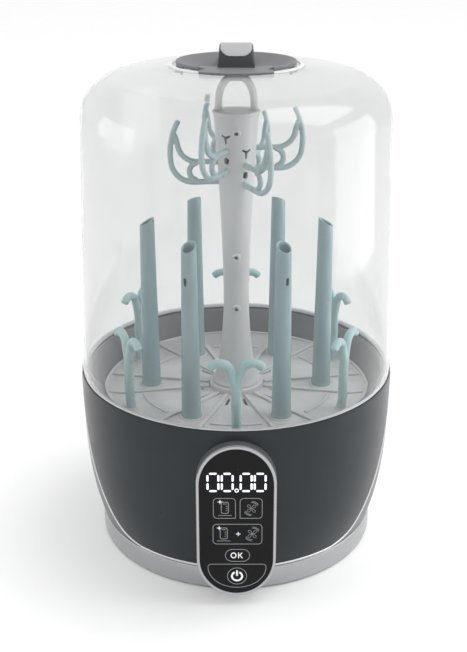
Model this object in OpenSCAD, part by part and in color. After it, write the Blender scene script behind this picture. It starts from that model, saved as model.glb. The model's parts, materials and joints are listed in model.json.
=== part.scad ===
// Bottle sterilizer and dryer: a round heated base, a lift-out rack with posts
// and hooks, a central accessory tree and a clear dome with a carry strap.
// Millimetres, +Z up, origin at the centre of the footprint, front towards -Y.
// Angles around the axis are counted from the front (-Y) towards +X.

/* [Base] */
// Outer radius at the rim of the base
rim_r = 140; // [135:0.5:145]
// Height of the rim above the resting surface
rim_z = 162; // [158:0.5:166]
// Outer radius of the silver foot ring
foot_r = 126.3; // [124:0.1:128]
// Height of the top edge of the foot ring
foot_top = 21; // [19:0.5:23]
// How much the casing tapers in from the rim to the foot
taper = 14; // [12:0.5:15]
// Wall thickness of the casing
wall = 2.6; // [2:0.1:3.2]
// Width of the bright trim band between the front and rear casing
trim_w = 1.8; // [1.2:0.1:2.6]

/* [Panel] */
// Width of the control pod
pod_w = 66.4; // [62:0.2:70]
// Height of the lowest point of the control pod
pod_low = 10.8; // [9:0.2:14]
// Height of the highest point of the control pod
pod_high = 154; // [150:0.5:156]
// Distance from the axis to the flat face of the control pod
pod_face = 150; // [148:0.5:153]
// Width of the bright frame around the panel glass
bezel_w = 2.5; // [2:0.1:3.5]

/* [Dome] */
// Outer radius of the dome just above the rim
dome_r = 139.3; // [138:0.1:139.6]
// Outer radius of the dome at its shoulder
dome_shoulder_r = 131.1; // [129:0.1:134]
// Height where the dome's shoulder begins
shoulder_z = 388; // [384:0.5:392]
// Radius of the rounded shoulder
shoulder_round = 35; // [30:0.5:38]
// Wall thickness of the dome
dome_wall = 2.4; // [2:0.1:3]
// Radius of the dish in the crown
dish_r = 50.5; // [48:0.5:52]
// Height of the dish's rim
dish_z = 435.5; // [434.5:0.1:437]
// Width of the carry strap across its foot
strap_w = 30.8; // [28:0.2:33]
// Height of the strap's crest
strap_top = 447.7; // [446:0.1:450]

/* [Rack] */
// Height of the rack's floor
rack_z = 138; // [137:0.5:139]
// Outer radius of the rack
rack_r = 121.9; // [120:0.1:122.2]
// Distance from the axis to each bottle post
post_pitch_r = 78; // [74:0.5:82]
// Radius of a bottle post at its base
post_r = 8.5; // [8:0.1:9]
// Radius of a bottle post at its top
post_top_r = 6.35; // [6:0.05:7]
// Height of the highest point of a bottle post
post_z = 298.5; // [290:0.5:305]
// Distance from the axis to each double hook
hook_pitch_r = 107.5; // [104:0.5:109]
// Height of the crest of a double hook
hook_z = 212; // [205:0.5:218]

/* [Accessory tree] */
// Radius of the column at its waist
waist_r = 11.3; // [11:0.1:12]
// Height of the column's waist
waist_z = 228; // [222:1:234]
// Height of the column's top plate
column_top = 395; // [393:0.5:397]
// Height of the top of the column's loop handle
loop_top = 421; // [418:0.5:422]
// Height of the upper arm of the three high branches
branch_high_z = 361; // [358:0.5:363]
// Height of the upper arm of the three low branches
branch_low_z = 348.5; // [346:0.5:350]
// Radius of a branch's rod
rod_r = 2.4; // [2.1:0.1:2.6]

/* [Hidden] */
$fn = 96;
gap = 0.3;

shell_color = [0.24, 0.27, 0.29];
rear_color = [0.42, 0.43, 0.45];
silver_color = [0.74, 0.75, 0.76];
rack_color = [0.80, 0.81, 0.80];
post_color = [0.42, 0.62, 0.63];
mint_color = [0.66, 0.83, 0.81];
branch_color = [0.55, 0.74, 0.73];
steel_color = [0.70, 0.71, 0.72];
dark_color = [0.12, 0.12, 0.13];
rubber_color = [0.20, 0.20, 0.21];
board_color = [0.10, 0.35, 0.20];
clear_color = [0.92, 0.95, 0.97, 0.25];

casing_low = foot_top + 1;
rack_t = 2.7;
bowl_t = 2.4;
bowl_ledge = rack_z - rack_t - gap;
bowl_floor = 104;
lip_r = 131.6;
lip_z = rim_z - 1.6;
lip_t = 2.2;
channel_z = rim_z - 5.5;
basin_r = 116;
plate_r = 62;
floor_z = 6;

// Outer radius of the casing at height z
function casing_r(z) = rim_r - taper * pow(max(0, rim_z - z) / (rim_z - casing_low), 3.2);

// Outer radius of the column at height z
function column_r(z) = z > waist_z
    ? waist_r + 0.00297 * pow(z - waist_z, 1.55)
    : waist_r + 0.000527 * pow(waist_z - z, 2.2);

// Side view of the trim line: distance from the axis plane at height z
function trim_y(z) = -20 - 60 * pow((rim_z - z) / (rim_z - 24), 1.6) - 14 * exp((24 - z) / 4);

// Turns a shape drawn at the front of the object to the angle a
module around(a) rotate([0, 0, a]) children();

// Solid of revolution inside the casing's outer surface, shrunk by inset
module casing_solid(inset, low, high) {
    steps = 12;
    rotate_extrude($fn = 128)
        polygon(concat(
            [[0, low]],
            [for (i = [0:steps]) let (z = low + (high - low) * i / steps) [casing_r(z) - inset, z]],
            [[0, high]]
        ));
}

module casing_skin(proud, low, high) {
    difference() {
        casing_solid(-proud, low, high);
        casing_solid(wall, low - 1, high + 1);
    }
}

// Prism across the whole width whose side view lies in front of the trim line,
// moved back and down by shift
module front_prism(shift, depth) {
    steps = 18;
    low = 24;
    high = rim_z + 2;
    rotate([90, 0, 90])
        linear_extrude(height = 2 * rim_r + 20, center = true)
            polygon(concat(
                [for (i = [0:steps]) let (z = low + (high - low) * pow(i / steps, 1.6))
                    [trim_y(min(z, rim_z)) + shift, z - shift]],
                [[-depth, high], [-depth, low - shift]]
            ));
}

// ---- Casing ----

module pod_outline(grow) {
    half = pod_w / 2 + grow;
    cap = half * 1.1;
    mid = (pod_high + pod_low) / 2;
    reach = (pod_high - pod_low) / 2 + grow - cap;
    polygon(concat(
        [for (a = [0:6:180]) [half * cos(a), mid + reach + cap * sin(a)]],
        [for (a = [180:6:360]) [half * cos(a), mid - reach + cap * sin(a)]]
    ));
}

// Slab with the pod's outline between two distances in front of the axis
module pod_slab(grow, near, far) {
    translate([0, -near, 0])
        rotate([90, 0, 0])
            linear_extrude(height = far - near)
                pod_outline(grow);
}

module front_shell() {
    color(shell_color)
        difference() {
            intersection() {
                casing_skin(0, casing_low, rim_z);
                front_prism(0, 200);
            }
            pod_slab(-9, 100, 160);
        }
}

module rear_shell() {
    color(rear_color)
        difference() {
            casing_skin(0, casing_low, rim_z);
            front_prism(trim_w, 200);
            filter_window(0.4);
            gland_place() cylinder(h = 40, r = gland_r, center = true);
        }
}

module trim_band() {
    color(silver_color)
        difference() {
            intersection() {
                casing_skin(0.3, casing_low, rim_z - 0.2);
                front_prism(trim_w, 200);
            }
            front_prism(0, 210);
            pod_slab(0, 100, 160);
        }
}

module foot_ring() {
    chamfer = 1.2;
    color(silver_color)
        difference() {
            rotate_extrude($fn = 128)
                polygon([
                    [foot_r - 4, 1.2], [foot_r - chamfer, 1.2], [foot_r, 1.2 + chamfer],
                    [foot_r, foot_top - 0.6], [foot_r - 0.6, foot_top],
                    [foot_r - 7, foot_top], [foot_r - 7, foot_top - 3], [foot_r - 4, foot_top - 6]
                ]);
            pod_slab(0.1, 115, 160);
        }
}

screw_ring_r = 96;
screw_count = 6;
pad_inner_r = 104;
pad_outer_r = 114;
pad_t = 3.2;

module bottom_cover() {
    slot_count = 7;
    slot_pitch = 8;
    color(dark_color)
        difference() {
            union() {
                translate([0, 0, 3])
                    cylinder(h = floor_z - 3, r = foot_r - 4.3, $fn = 128);
                translate([0, 0, 1.6])
                    cylinder(h = 2, r = pad_outer_r + 2, $fn = 128);
                for (i = [0:screw_count - 1])
                    around(i * 60)
                        translate([0, -screw_ring_r, floor_z])
                            cylinder(h = 12, r = 5);
            }
            translate([0, 0, -1])
                cylinder(h = 4, r = pad_inner_r - 2, $fn = 128);
            translate([0, 0, -1])
                difference() {
                    cylinder(h = pad_t + 1, r = pad_outer_r + 0.1, $fn = 128);
                    translate([0, 0, -1]) cylinder(h = pad_t + 4, r = pad_inner_r - 0.1, $fn = 128);
                }
            for (i = [0:screw_count - 1])
                around(i * 60)
                    translate([0, -screw_ring_r, 0]) {
                        cylinder(h = floor_z, r = 4.2);
                        cylinder(h = 30, r = 1.7);
                    }
            for (row = [0:slot_count - 1])
                translate([-28, (row - (slot_count - 1) / 2) * slot_pitch - 1.5, 0])
                    cube([56, 3, 10]);
        }
}

// Non-slip ring that the object stands on
module foot_pad() {
    color(rubber_color)
        rotate_extrude($fn = 128)
            polygon([
                [pad_inner_r + 0.8, 0], [pad_outer_r - 0.8, 0], [pad_outer_r, 0.8],
                [pad_outer_r, pad_t], [pad_inner_r, pad_t], [pad_inner_r, 0.8]
            ]);
}

module bottom_screws() {
    color(steel_color)
        for (i = [0:screw_count - 1])
            around(i * 60)
                translate([0, -screw_ring_r, 3.6])
                    difference() {
                        union() {
                            cylinder(h = 2.3, r = 3.4);
                            cylinder(h = 13, r = 1.6);
                        }
                        translate([-2.2, -0.4, -1]) cube([4.4, 0.8, 2]);
                        translate([-0.4, -2.2, -1]) cube([0.8, 4.4, 2]);
                    }
}

// ---- Bowl and heater ----

module inner_bowl() {
    chimney_low = bowl_floor - bowl_t;
    color([0.45, 0.46, 0.48])
        difference() {
            union() {
                rotate_extrude($fn = 128)
                    polygon([
                        [rim_r - wall - gap, channel_z], [rim_r - wall - gap, channel_z - bowl_t],
                        [lip_r + 1.4, channel_z - bowl_t], [rack_r + 2.9, bowl_ledge - bowl_t],
                        [basin_r + bowl_t, bowl_ledge - bowl_t],
                        [basin_r + bowl_t, bowl_floor + 6], [basin_r - 4, bowl_floor - bowl_t],
                        [plate_r - 1, bowl_floor - bowl_t - 1.5], [plate_r - 1, bowl_floor - 1.5],
                        [basin_r - 5, bowl_floor], [basin_r, bowl_floor + 6.5],
                        [basin_r, bowl_ledge], [rack_r + 0.6, bowl_ledge],
                        [rack_r + 0.9, rack_z], [lip_r, lip_z - 0.6],
                        [lip_r + 0.6, lip_z], [lip_r + lip_t - 0.6, lip_z],
                        [lip_r + lip_t, lip_z - 0.6], [lip_r + lip_t, channel_z]
                    ]);
                chimney_place()
                    translate([0, 0, chimney_low]) cylinder(h = 22, r = chimney_r);
            }
            chimney_place()
                translate([0, 0, chimney_low - 5]) cylinder(h = 40, r = chimney_r - 2);
        }
}

module rim_seal() {
    color(rubber_color)
        translate([0, 0, channel_z])
            rotate_extrude($fn = 128)
                polygon([
                    [lip_r + lip_t + 0.3, 0], [rim_r - wall - 0.4, 0],
                    [rim_r - wall - 0.4, 0.7], [lip_r + lip_t + 0.3, 0.7]
                ]);
}

module heating_plate() {
    color(steel_color)
        rotate_extrude($fn = 128)
            polygon([
                [0, bowl_floor - 2.6], [plate_r - 8, bowl_floor - 2.6], [plate_r - 6, bowl_floor - 4.6],
                [plate_r - 2.2, bowl_floor - 4.6], [plate_r - 2.2, bowl_floor - 0.6],
                [plate_r - 6, bowl_floor - 0.6], [plate_r - 8, bowl_floor - 1.2], [0, bowl_floor - 1.2]
            ]);
}

module plate_gasket() {
    color([0.75, 0.35, 0.25])
        translate([0, 0, bowl_floor - 4.4])
            rotate_extrude($fn = 128)
                translate([plate_r - 2.2, 0]) square([1.2, 3.8]);
}

element_z = bowl_floor - 6.4;
element_r = 40;

module heating_element() {
    color([0.55, 0.42, 0.33])
        union() {
            translate([0, 0, element_z])
                rotate([0, 0, 110])
                    rotate_extrude(angle = 320)
                        translate([element_r, 0]) circle(r = 3.8, $fn = 48);
            for (a = [110, 70])
                rotate([0, 0, a])
                    translate([element_r, 0, element_z - 16])
                        cylinder(h = 16, r = 2.4);
        }
}

module thermostat() {
    color([0.85, 0.82, 0.74])
        union() {
            translate([0, 0, bowl_floor - 13.2]) cylinder(h = 10.6, r = 8);
            translate([-13, -3.5, bowl_floor - 5.2]) cube([26, 7, 2]);
            for (x = [-4, 4])
                translate([x - 2.5, -0.4, bowl_floor - 21]) cube([5, 0.8, 8]);
        }
}

// ---- Blower ----

fan_x = 0;
fan_y = 40;
fan_low = 14;
fan_high = 48;
fan_r = 40;
chimney_r = 13;
chimney_x = -63;
chimney_y = 56;
outlet_w = 26;

module chimney_place() translate([chimney_x, chimney_y, 0]) children();

module fan_outline(grow) {
    translate([fan_x, fan_y]) circle(r = fan_r + grow);
    translate([chimney_x - 14 - grow, chimney_y - outlet_w / 2 - grow])
        square([fan_x - chimney_x + 14 + grow, outlet_w + 2 * grow]);
}

module fan_housing() {
    color([0.30, 0.31, 0.33])
        difference() {
            union() {
                translate([0, 0, fan_low])
                    linear_extrude(height = fan_high - fan_low) fan_outline(0);
                for (a = [60, 180, 300])
                    translate([fan_x + 34 * sin(a), fan_y + 34 * cos(a), floor_z])
                        cylinder(h = fan_low - floor_z + 1, r = 4);
            }
            translate([0, 0, fan_low + 2])
                linear_extrude(height = fan_high - fan_low - 4) fan_outline(-2);
            translate([fan_x, fan_y, fan_high - 5]) cylinder(h = 10, r = 22);
            translate([fan_x, fan_y, fan_low - 5]) cylinder(h = 10, r = 14);
            chimney_place()
                translate([0, 0, fan_high - 5]) cylinder(h = 10, r = chimney_r - 2);
        }
}

module fan_motor() {
    color(steel_color)
        translate([fan_x, fan_y, 0])
            union() {
                translate([0, 0, floor_z]) cylinder(h = 13, r = 13);
                translate([0, 0, floor_z]) cylinder(h = 24, r = 1.5);
            }
}

module fan_impeller() {
    blades = 18;
    color([0.85, 0.86, 0.86])
        translate([fan_x, fan_y, 0])
            difference() {
                union() {
                    translate([0, 0, 20.4]) cylinder(h = 1.6, r = 33);
                    translate([0, 0, 20.4]) cylinder(h = 12, r = 4);
                    for (i = [0:blades - 1])
                        rotate([0, 0, i * 360 / blades])
                            translate([22, 0, 21])
                                rotate([0, 0, 35])
                                    translate([0, -0.6, 0]) cube([12, 1.2, 21]);
                    translate([0, 0, 41])
                        difference() {
                            cylinder(h = 1.6, r = 35);
                            translate([0, 0, -1]) cylinder(h = 4, r = 22);
                        }
                }
                translate([0, 0, 10]) cylinder(h = 30, r = 1.55);
            }
}

module air_duct() {
    color([0.30, 0.31, 0.33])
        chimney_place()
            difference() {
                union() {
                    translate([0, 0, fan_high])
                        cylinder(h = bowl_floor - bowl_t - 1.4 - fan_high, r = chimney_r);
                    translate([0, 0, fan_high]) cylinder(h = 2, r = chimney_r + 3);
                }
                translate([0, 0, fan_high - 1]) cylinder(h = 60, r = chimney_r - 2);
            }
}

module air_heater() {
    fins = 9;
    fin_pitch = 2.5;
    color([0.78, 0.70, 0.50])
        translate([chimney_x + 11.5, chimney_y - 10, fan_low + 2])
            union() {
                cube([12, 20.8, 3]);
                translate([0, 0, fan_high - fan_low - 7]) cube([12, 20.8, 3]);
                for (i = [0:fins - 1])
                    translate([0, i * fin_pitch, 0]) cube([12, 0.8, fan_high - fan_low - 4]);
            }
}

module air_outlet() {
    slots = 10;
    color([0.50, 0.51, 0.53])
        chimney_place()
            difference() {
                union() {
                    translate([0, 0, bowl_floor + 12]) cylinder(h = 9, r = chimney_r + 2.2);
                    translate([0, 0, bowl_floor + 21]) cylinder(h = 2.5, r1 = chimney_r + 2.2, r2 = chimney_r);
                }
                translate([0, 0, bowl_floor + 11]) cylinder(h = 8.6, r = chimney_r + 0.1);
                for (i = [0:slots - 1])
                    rotate([0, 0, i * 36])
                        translate([5, -1, bowl_floor + 10]) cube([7, 2, 20]);
            }
}

// ---- Filter ----

filter_low = 28;
filter_high = 68;
filter_half = 38;

// Window in the rear casing that the filter cover fills, grown all round
module filter_window(grow) {
    translate([-filter_half - grow, 90, filter_low - grow])
        cube([2 * (filter_half + grow), 60, filter_high - filter_low + 2 * grow]);
}

module air_filter() {
    pleats = 15;
    color([0.93, 0.93, 0.90])
        union() {
            for (z = [filter_low + 3, filter_high - 6])
                translate([-33, 96, z]) cube([66, 14, 3]);
            for (x = [-33, 30])
                translate([x, 96, filter_low + 3]) cube([3, 14, filter_high - filter_low - 6]);
            for (i = [0:pleats - 1])
                translate([-29.4 + i * 4, 98, filter_low + 5])
                    cube([1.4, 10, filter_high - filter_low - 10]);
            translate([-31, 102, filter_low + 5]) cube([62, 1.2, filter_high - filter_low - 10]);
        }
}

module filter_cover() {
    slots = 7;
    color(rear_color)
        difference() {
            union() {
                intersection() {
                    casing_skin(0, filter_low, filter_high);
                    filter_window(0);
                }
                for (x = [-filter_half + 5, filter_half - 8])
                    translate([x, 110, filter_low + 15]) cube([3, 17.5, 10]);
            }
            for (i = [0:slots - 1])
                translate([-26, 100, filter_low + 7 + i * 4])
                    cube([52, 60, 1.8]);
        }
}

// ---- Cord gland ----

gland_angle = 145;
gland_z = 36;
gland_r = 9.2;
cord_r = 3.6;

// Turns a piece drawn along +Z so that it points straight out of the casing at the gland
module gland_place() {
    tilt = atan((casing_r(gland_z + 1) - casing_r(gland_z - 1)) / 2);
    around(gland_angle)
        translate([0, -casing_r(gland_z), gland_z])
            rotate([90 + tilt, 0, 0])
                children();
}

module cord_gland() {
    color(rubber_color)
        gland_place()
            difference() {
                union() {
                    translate([0, 0, 0.8]) cylinder(h = 3, r = 11.5);
                    translate([0, 0, -8]) cylinder(h = 9, r = 8.9);
                    translate([0, 0, -8]) cylinder(h = 3, r = 11);
                    translate([0, 0, 3.6]) cylinder(h = 9, r1 = 8, r2 = 6);
                }
                translate([0, 0, -10]) cylinder(h = 30, r = cord_r);
            }
}

// ---- Control panel ----

glass_t = 2;
glass_drop = 0.4;

module panel_housing() {
    color(silver_color)
        difference() {
            pod_slab(0, 112, pod_face);
            pod_slab(-bezel_w, pod_face - glass_t, pod_face + 5);
            pod_slab(-bezel_w - 2, 100, pod_face + 1);
            casing_solid(-0.2, casing_low - 1, rim_z + 1);
            translate([0, 0, -1]) cylinder(h = casing_low + 1.2, r = foot_r - 6.8);
        }
}

module panel_glass() {
    color(dark_color)
        pod_slab(-bezel_w - 0.1, pod_face - glass_t, pod_face - glass_drop);
}

digit_w = 10.6;
digit_h = 18.4;
digit_z = 121;
seg_t = 2.4;
print_t = 0.3;

// One bar of a digit, with round ends, between two points on the panel
module segment(x1, z1, x2, z2) {
    length = max(abs(x2 - x1), abs(z2 - z1));
    angle = abs(x2 - x1) > abs(z2 - z1) ? 0 : 90;
    translate([(x1 + x2) / 2, (z1 + z2) / 2])
        rotate([0, 0, angle])
            union() {
                square([length, seg_t], center = true);
                for (s = [-1, 1])
                    translate([s * length / 2, 0]) circle(r = seg_t / 2, $fn = 24);
            }
}

module zero_digit(x) {
    half_w = (digit_w - seg_t) / 2;
    half_h = (digit_h - seg_t) / 2;
    translate([x, digit_z]) {
        segment(-half_w + 2.2, half_h, half_w - 2.2, half_h);
        segment(-half_w + 2.2, -half_h, half_w - 2.2, -half_h);
        for (s = [-1, 1]) {
            segment(s * half_w, 2.0, s * half_w, half_h - 2.1);
            segment(s * half_w, -half_h + 2.1, s * half_w, -2.0);
        }
    }
}

// Lays a flat outline on the front of the panel glass
module printed() {
    translate([0, -pod_face + glass_drop, 0])
        rotate([90, 0, 0])
            linear_extrude(height = print_t) children();
}

module display_digits() {
    color("white")
        printed()
            union() {
                for (x = [-19, -7.4, 8, 19.4]) zero_digit(x);
                translate([0.3, digit_z - 7.6])
                    difference() {
                        circle(r = 1.8, $fn = 32);
                        circle(r = 1.1, $fn = 32);
                    }
            }
}

module outline_box(w, h, r, line) {
    difference() {
        round_box(w, h, r);
        round_box(w - 2 * line, h - 2 * line, r - line);
    }
}

module round_box(w, h, r) {
    union() {
        square([w - 2 * r, h], center = true);
        square([w, h - 2 * r], center = true);
        for (x = [-1, 1], z = [-1, 1])
            translate([x * (w / 2 - r), z * (h / 2 - r)]) circle(r = r, $fn = 32);
    }
}

module power_mark(r) {
    difference() {
        circle(r = r);
        circle(r = r - 1.4);
        translate([-1.6, 0]) square([3.2, 2 * r]);
    }
    translate([-0.7, 0.8]) square([1.4, r]);
}

module touch_keys() {
    line = 0.6;
    color([0.85, 0.85, 0.85])
        printed()
            union() {
                translate([-9.8, 96.5]) outline_box(18.6, 19.4, 3.4, line);
                translate([12.2, 96.5]) outline_box(18.6, 19.4, 3.4, line);
                translate([1, 73.2]) outline_box(41, 19.8, 3.4, line);
                translate([1, 52.8]) outline_box(20.8, 12.6, 6.2, line);
                translate([0.6, 28])
                    difference() {
                        circle(r = 8.4);
                        circle(r = 8.4 - line);
                    }
                translate([0.6, 28]) power_mark(5.2);
            }
}

module display_board() {
    color(board_color)
        difference() {
            pod_slab(-bezel_w - 5, pod_face - glass_t - 4.4, pod_face - glass_t - 2.8);
            translate([-50, -160, 0]) cube([100, 60, 60]);
        }
}

module main_board() {
    board_w = 48;
    board_d = 76;
    stand = 6;
    hole_x = [4, board_w - 4];
    hole_y = [4, board_d - 4];
    color(board_color)
        translate([24, -80, floor_z + stand])
            union() {
                difference() {
                    cube([board_w, board_d, 1.6]);
                    for (x = hole_x, y = hole_y)
                        translate([x, y, -1]) cylinder(h = 4, r = 1.6);
                }
                translate([3, 12, 1.6]) cube([24, 22, 18]);
                for (y = [14, 30])
                    translate([30, y, 1.6]) cube([14, 12, 14]);
                for (x = [10, 24])
                    translate([x, 52, 1.6]) cylinder(h = 20, r = 5.5);
                translate([31, 54, 1.6]) cube([14, 10, 8]);
                for (x = hole_x, y = hole_y)
                    translate([x, y, -stand])
                        difference() {
                            cylinder(h = stand, r = 3);
                            translate([0, 0, -1]) cylinder(h = stand + 2, r = 1.2);
                        }
            }
}

// ---- Rack ----

post_angles = [-150, -90, -30, 30, 90, 150];
hook_angles = [0, 60, 120, 180, 240, 300];
hub_r = 24;
hub_top = rack_z + 5;
spigot_r = 13;
spigot_z = rack_z + 26;

module rack_tray() {
    rib_w = 4.6;
    rib_h = 2.2;
    rib_spread = 10.5;
    color(rack_color)
        difference() {
            union() {
                translate([0, 0, rack_z - rack_t]) cylinder(h = rack_t, r = rack_r, $fn = 128);
                translate([0, 0, rack_z]) cylinder(h = hub_top - rack_z, r1 = hub_r + 0.6, r2 = hub_r);
                translate([0, 0, rack_z]) cylinder(h = spigot_z - rack_z, r = spigot_r);
                for (a = post_angles, s = [-1, 1])
                    around(a + s * rib_spread)
                        translate([-rib_w / 2, -rack_r + 4, rack_z])
                            cube([rib_w, rack_r - 4 - hub_r + 1, rib_h]);
                for (a = hook_angles)
                    translate([0, 0, rack_z])
                        rotate([0, 0, a - 90 - 15])
                            rotate_extrude(angle = 30)
                                translate([84, 0]) square([3, 1.4]);
                rotate_extrude($fn = 128)
                    translate([rack_r - 3, rack_z]) square([3, 1.6]);
            }
            translate([0, 0, rack_z - 10]) cylinder(h = 60, r = spigot_r - 2.4);
            for (a = post_angles) {
                around(a)
                    translate([0, -post_pitch_r, rack_z - 10]) cylinder(h = 20, r = 6);
                for (s = [-18, 18])
                    around(a + s)
                        translate([-1.3, -44, rack_z - 10]) cube([2.6, 13, 20]);
            }
            for (a = hook_angles) {
                around(a)
                    translate([0, -hook_pitch_r, rack_z - 10]) cylinder(h = 20, r = 3.1);
            }
        }
}

module bottle_post(i) {
    post_wall = 1.6;
    cut_angle = 29;
    color(post_color)
        around(post_angles[i])
            translate([0, -post_pitch_r, 0])
                difference() {
                    union() {
                        translate([0, 0, rack_z])
                            cylinder(h = post_z - rack_z, r1 = post_r, r2 = post_top_r, $fn = 64);
                        translate([0, 0, rack_z - rack_t]) cylinder(h = rack_t + 1, r = 5.9, $fn = 64);
                    }
                    translate([0, 0, rack_z - 5]) cylinder(h = 16, r = 4.6, $fn = 64);
                    translate([0, 0, rack_z + 8])
                        cylinder(h = post_z - rack_z, r1 = post_r - post_wall - 0.2,
                                 r2 = post_top_r - post_wall, $fn = 64);
                    translate([0, post_top_r, post_z])
                        rotate([cut_angle, 0, 0])
                            translate([-20, -40, 0]) cube([40, 50, 40]);
                    translate([-1.4, -20, post_z - 36]) cube([2.8, 20, 7]);
                }
}

module hook(i) {
    stem_r = 4.25;
    arm_r = 3.7;
    neck_r = 3.6;
    bend_r = 9.5;
    lean = 15;
    curl = 38;
    reach = 13;
    arm_x = 1.2;
    bend_z = hook_z - arm_r - bend_r;
    fork_z = bend_z - reach * cos(lean) + bend_r * sin(lean);
    bend_x = arm_x + reach * sin(lean) + bend_r * cos(lean);
    color(mint_color)
        around(hook_angles[i])
            translate([0, -hook_pitch_r, 0])
                union() {
                    translate([0, 0, rack_z - rack_t]) cylinder(h = rack_t + 1, r = 3, $fn = 48);
                    translate([0, 0, rack_z]) cylinder(h = fork_z + 2 - rack_z, r = stem_r, $fn = 48);
                    for (s = [-1, 1]) {
                        translate([s * arm_x, 0, fork_z])
                            rotate([0, s * lean, 0])
                                translate([0, 0, -2]) cylinder(h = reach + 2 + 0.6, r = neck_r, $fn = 48);
                        translate([s * bend_x, 0, bend_z])
                            rotate([90, 0, 0])
                                rotate([0, 0, s > 0 ? curl : lean])
                                    rotate_extrude(angle = 180 - curl - lean)
                                        translate([bend_r, 0]) circle(r = arm_r, $fn = 48);
                    }
                }
}

// ---- Accessory tree ----

branch_angles = [-30, 30, 90, 150, -150, -90];
function branch_z(i) = i % 2 == 0 ? branch_high_z : branch_low_z;
arm_drop = 17;
column_wall = 2.4;

module column_profile(inset, low, high) {
    steps = 28;
    rotate_extrude($fn = 96)
        polygon(concat(
            [[0, low]],
            [for (i = [0:steps]) let (z = low + (high - low) * i / steps) [column_r(z) - inset, z]],
            [[0, high]]
        ));
}

module column() {
    nozzle_heights = [377, 265.6, 217];
    color(rack_color)
        difference() {
            union() {
                difference() {
                    column_profile(0, hub_top + gap, column_top - 4);
                    column_profile(column_wall, hub_top - 1, column_top + 2);
                }
                for (z = nozzle_heights)
                    translate([0, -column_r(z) + 2, z])
                        rotate([90, 0, 0]) cylinder(h = 3, r = 3.5, $fn = 48);
            }
            for (z = nozzle_heights)
                translate([0, -column_r(z) + 5, z])
                    rotate([90, 0, 0]) cylinder(h = 10, r = 1.3, $fn = 32);
            for (i = [0:5])
                around(branch_angles[i])
                    for (z = [branch_z(i), branch_z(i) - arm_drop])
                        translate([0, 0, z])
                            rotate([90, 0, 0]) cylinder(h = 30, r = rod_r + gap, $fn = 48);
            for (i = [0:5])
                around(branch_angles[i])
                    translate([-2.2, -30, branch_z(i) - arm_drop / 2 - 3.2]) cube([4.4, 25, 6.4]);
        }
}

module column_cap() {
    lip = 1.0;
    loop_r = 3.2;
    loop_w = 14.8;
    plug_r = column_r(column_top - 10) - column_wall - 0.15;
    bend_z = loop_top - loop_r - loop_w;
    color(rack_color)
        union() {
            translate([0, 0, column_top - 4])
                cylinder(h = 4, r = column_r(column_top - 4) + lip);
            translate([0, 0, column_top - 10])
                difference() {
                    cylinder(h = 6, r = plug_r);
                    translate([0, 0, -1]) cylinder(h = 6, r = plug_r - 2);
                }
            for (s = [-1, 1])
                translate([s * loop_w, 0, column_top - 1])
                    cylinder(h = bend_z - column_top + 1, r = loop_r, $fn = 48);
            translate([0, 0, bend_z])
                rotate([90, 0, 0])
                    rotate_extrude(angle = 180)
                        translate([loop_w, 0]) circle(r = loop_r, $fn = 48);
        }
}

// Arc of round rod in the side plane of a branch: centre, radius, first angle and sweep
module rod_arc(cr, cz, r, first, sweep) {
    translate([cr, 0, cz])
        rotate([90, 0, 0])
            rotate([0, 0, first])
                rotate_extrude(angle = sweep)
                    translate([r, 0]) circle(r = rod_r, $fn = 40);
}

// Straight round rod in the side plane of a branch
module rod_line(r1, z1, r2, z2) {
    length = norm([r2 - r1, z2 - z1]);
    translate([r1, 0, z1])
        rotate([0, atan2(r2 - r1, z2 - z1), 0])
            cylinder(h = length, r = rod_r, $fn = 40);
}

module branch(i) {
    plug = 10.5;
    low_bend = 19;
    tip_bend = 60;
    turn = 8;
    tip_r = 37 + low_bend * cos(turn);
    tip_z = 1 - low_bend * sin(turn);
    color(branch_color)
        around(branch_angles[i] - 90)
            translate([0, 0, branch_z(i)])
                union() {
                    rod_line(plug, -arm_drop, 37, -arm_drop - 1);
                    rod_arc(37, 1, low_bend, -90, 90 - turn);
                    rod_arc(tip_r - tip_bend * cos(turn), tip_z + tip_bend * sin(turn), tip_bend, -turn, 36);
                    rod_line(plug, 0, 34, 0);
                    rod_arc(34, 16, 16, -90, 80);
                    rod_line(49.6, 13.2, 53.4, 25);
                    rod_arc(32.6, -8.8, 7.6, -78, 156);
                }
}

// ---- Dome ----

crown_tilt = 80;
bead_r = 52.6;

// Height of the dome's outer surface at radius r, on its crown,
// and the ledge that the dish sits on
function crown_z(r) =
    shoulder_z + shoulder_round * sin(crown_tilt)
    + (dome_shoulder_r - shoulder_round + shoulder_round * cos(crown_tilt) - r) / tan(crown_tilt);
dish_seat = crown_z(bead_r) - 0.2;

module dome_profile(inset, low, hole) {
    centre = dome_shoulder_r - shoulder_round;
    round = shoulder_round - inset;
    polygon(concat(
        [[0, low], [dome_r - inset, low], [dome_shoulder_r - inset, shoulder_z]],
        [for (a = [8:8:crown_tilt]) [centre + round * cos(a), shoulder_z + round * sin(a)]],
        [[hole, crown_z(hole) - inset / sin(crown_tilt)], [0, crown_z(hole) - inset / sin(crown_tilt)]]
    ));
}

module dome_shell() {
    opening_r = 46.5;
    skirt_r = rim_r - wall - 0.8;
    color(clear_color)
        difference() {
            union() {
                rotate_extrude($fn = 160) dome_profile(0, rim_z + gap, opening_r);
                translate([0, 0, channel_z + 1]) cylinder(h = 6, r = skirt_r, $fn = 160);
                translate([0, 0, dish_seat - 0.8])
                    cylinder(h = 2.2, r1 = bead_r + 1, r2 = bead_r, $fn = 128);
            }
            rotate_extrude($fn = 160) dome_profile(dome_wall, rim_z + 2, opening_r);
            translate([0, 0, channel_z - 5]) cylinder(h = 14, r = skirt_r - 2.2, $fn = 160);
            translate([0, 0, dish_seat - 20]) cylinder(h = 60, r = opening_r);
            translate([0, 0, dish_seat]) cylinder(h = 10, r = dish_r + gap);
        }
}

tab_half = 30;
tab_drop = 2.5;
dish_floor = 427.5;

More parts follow.
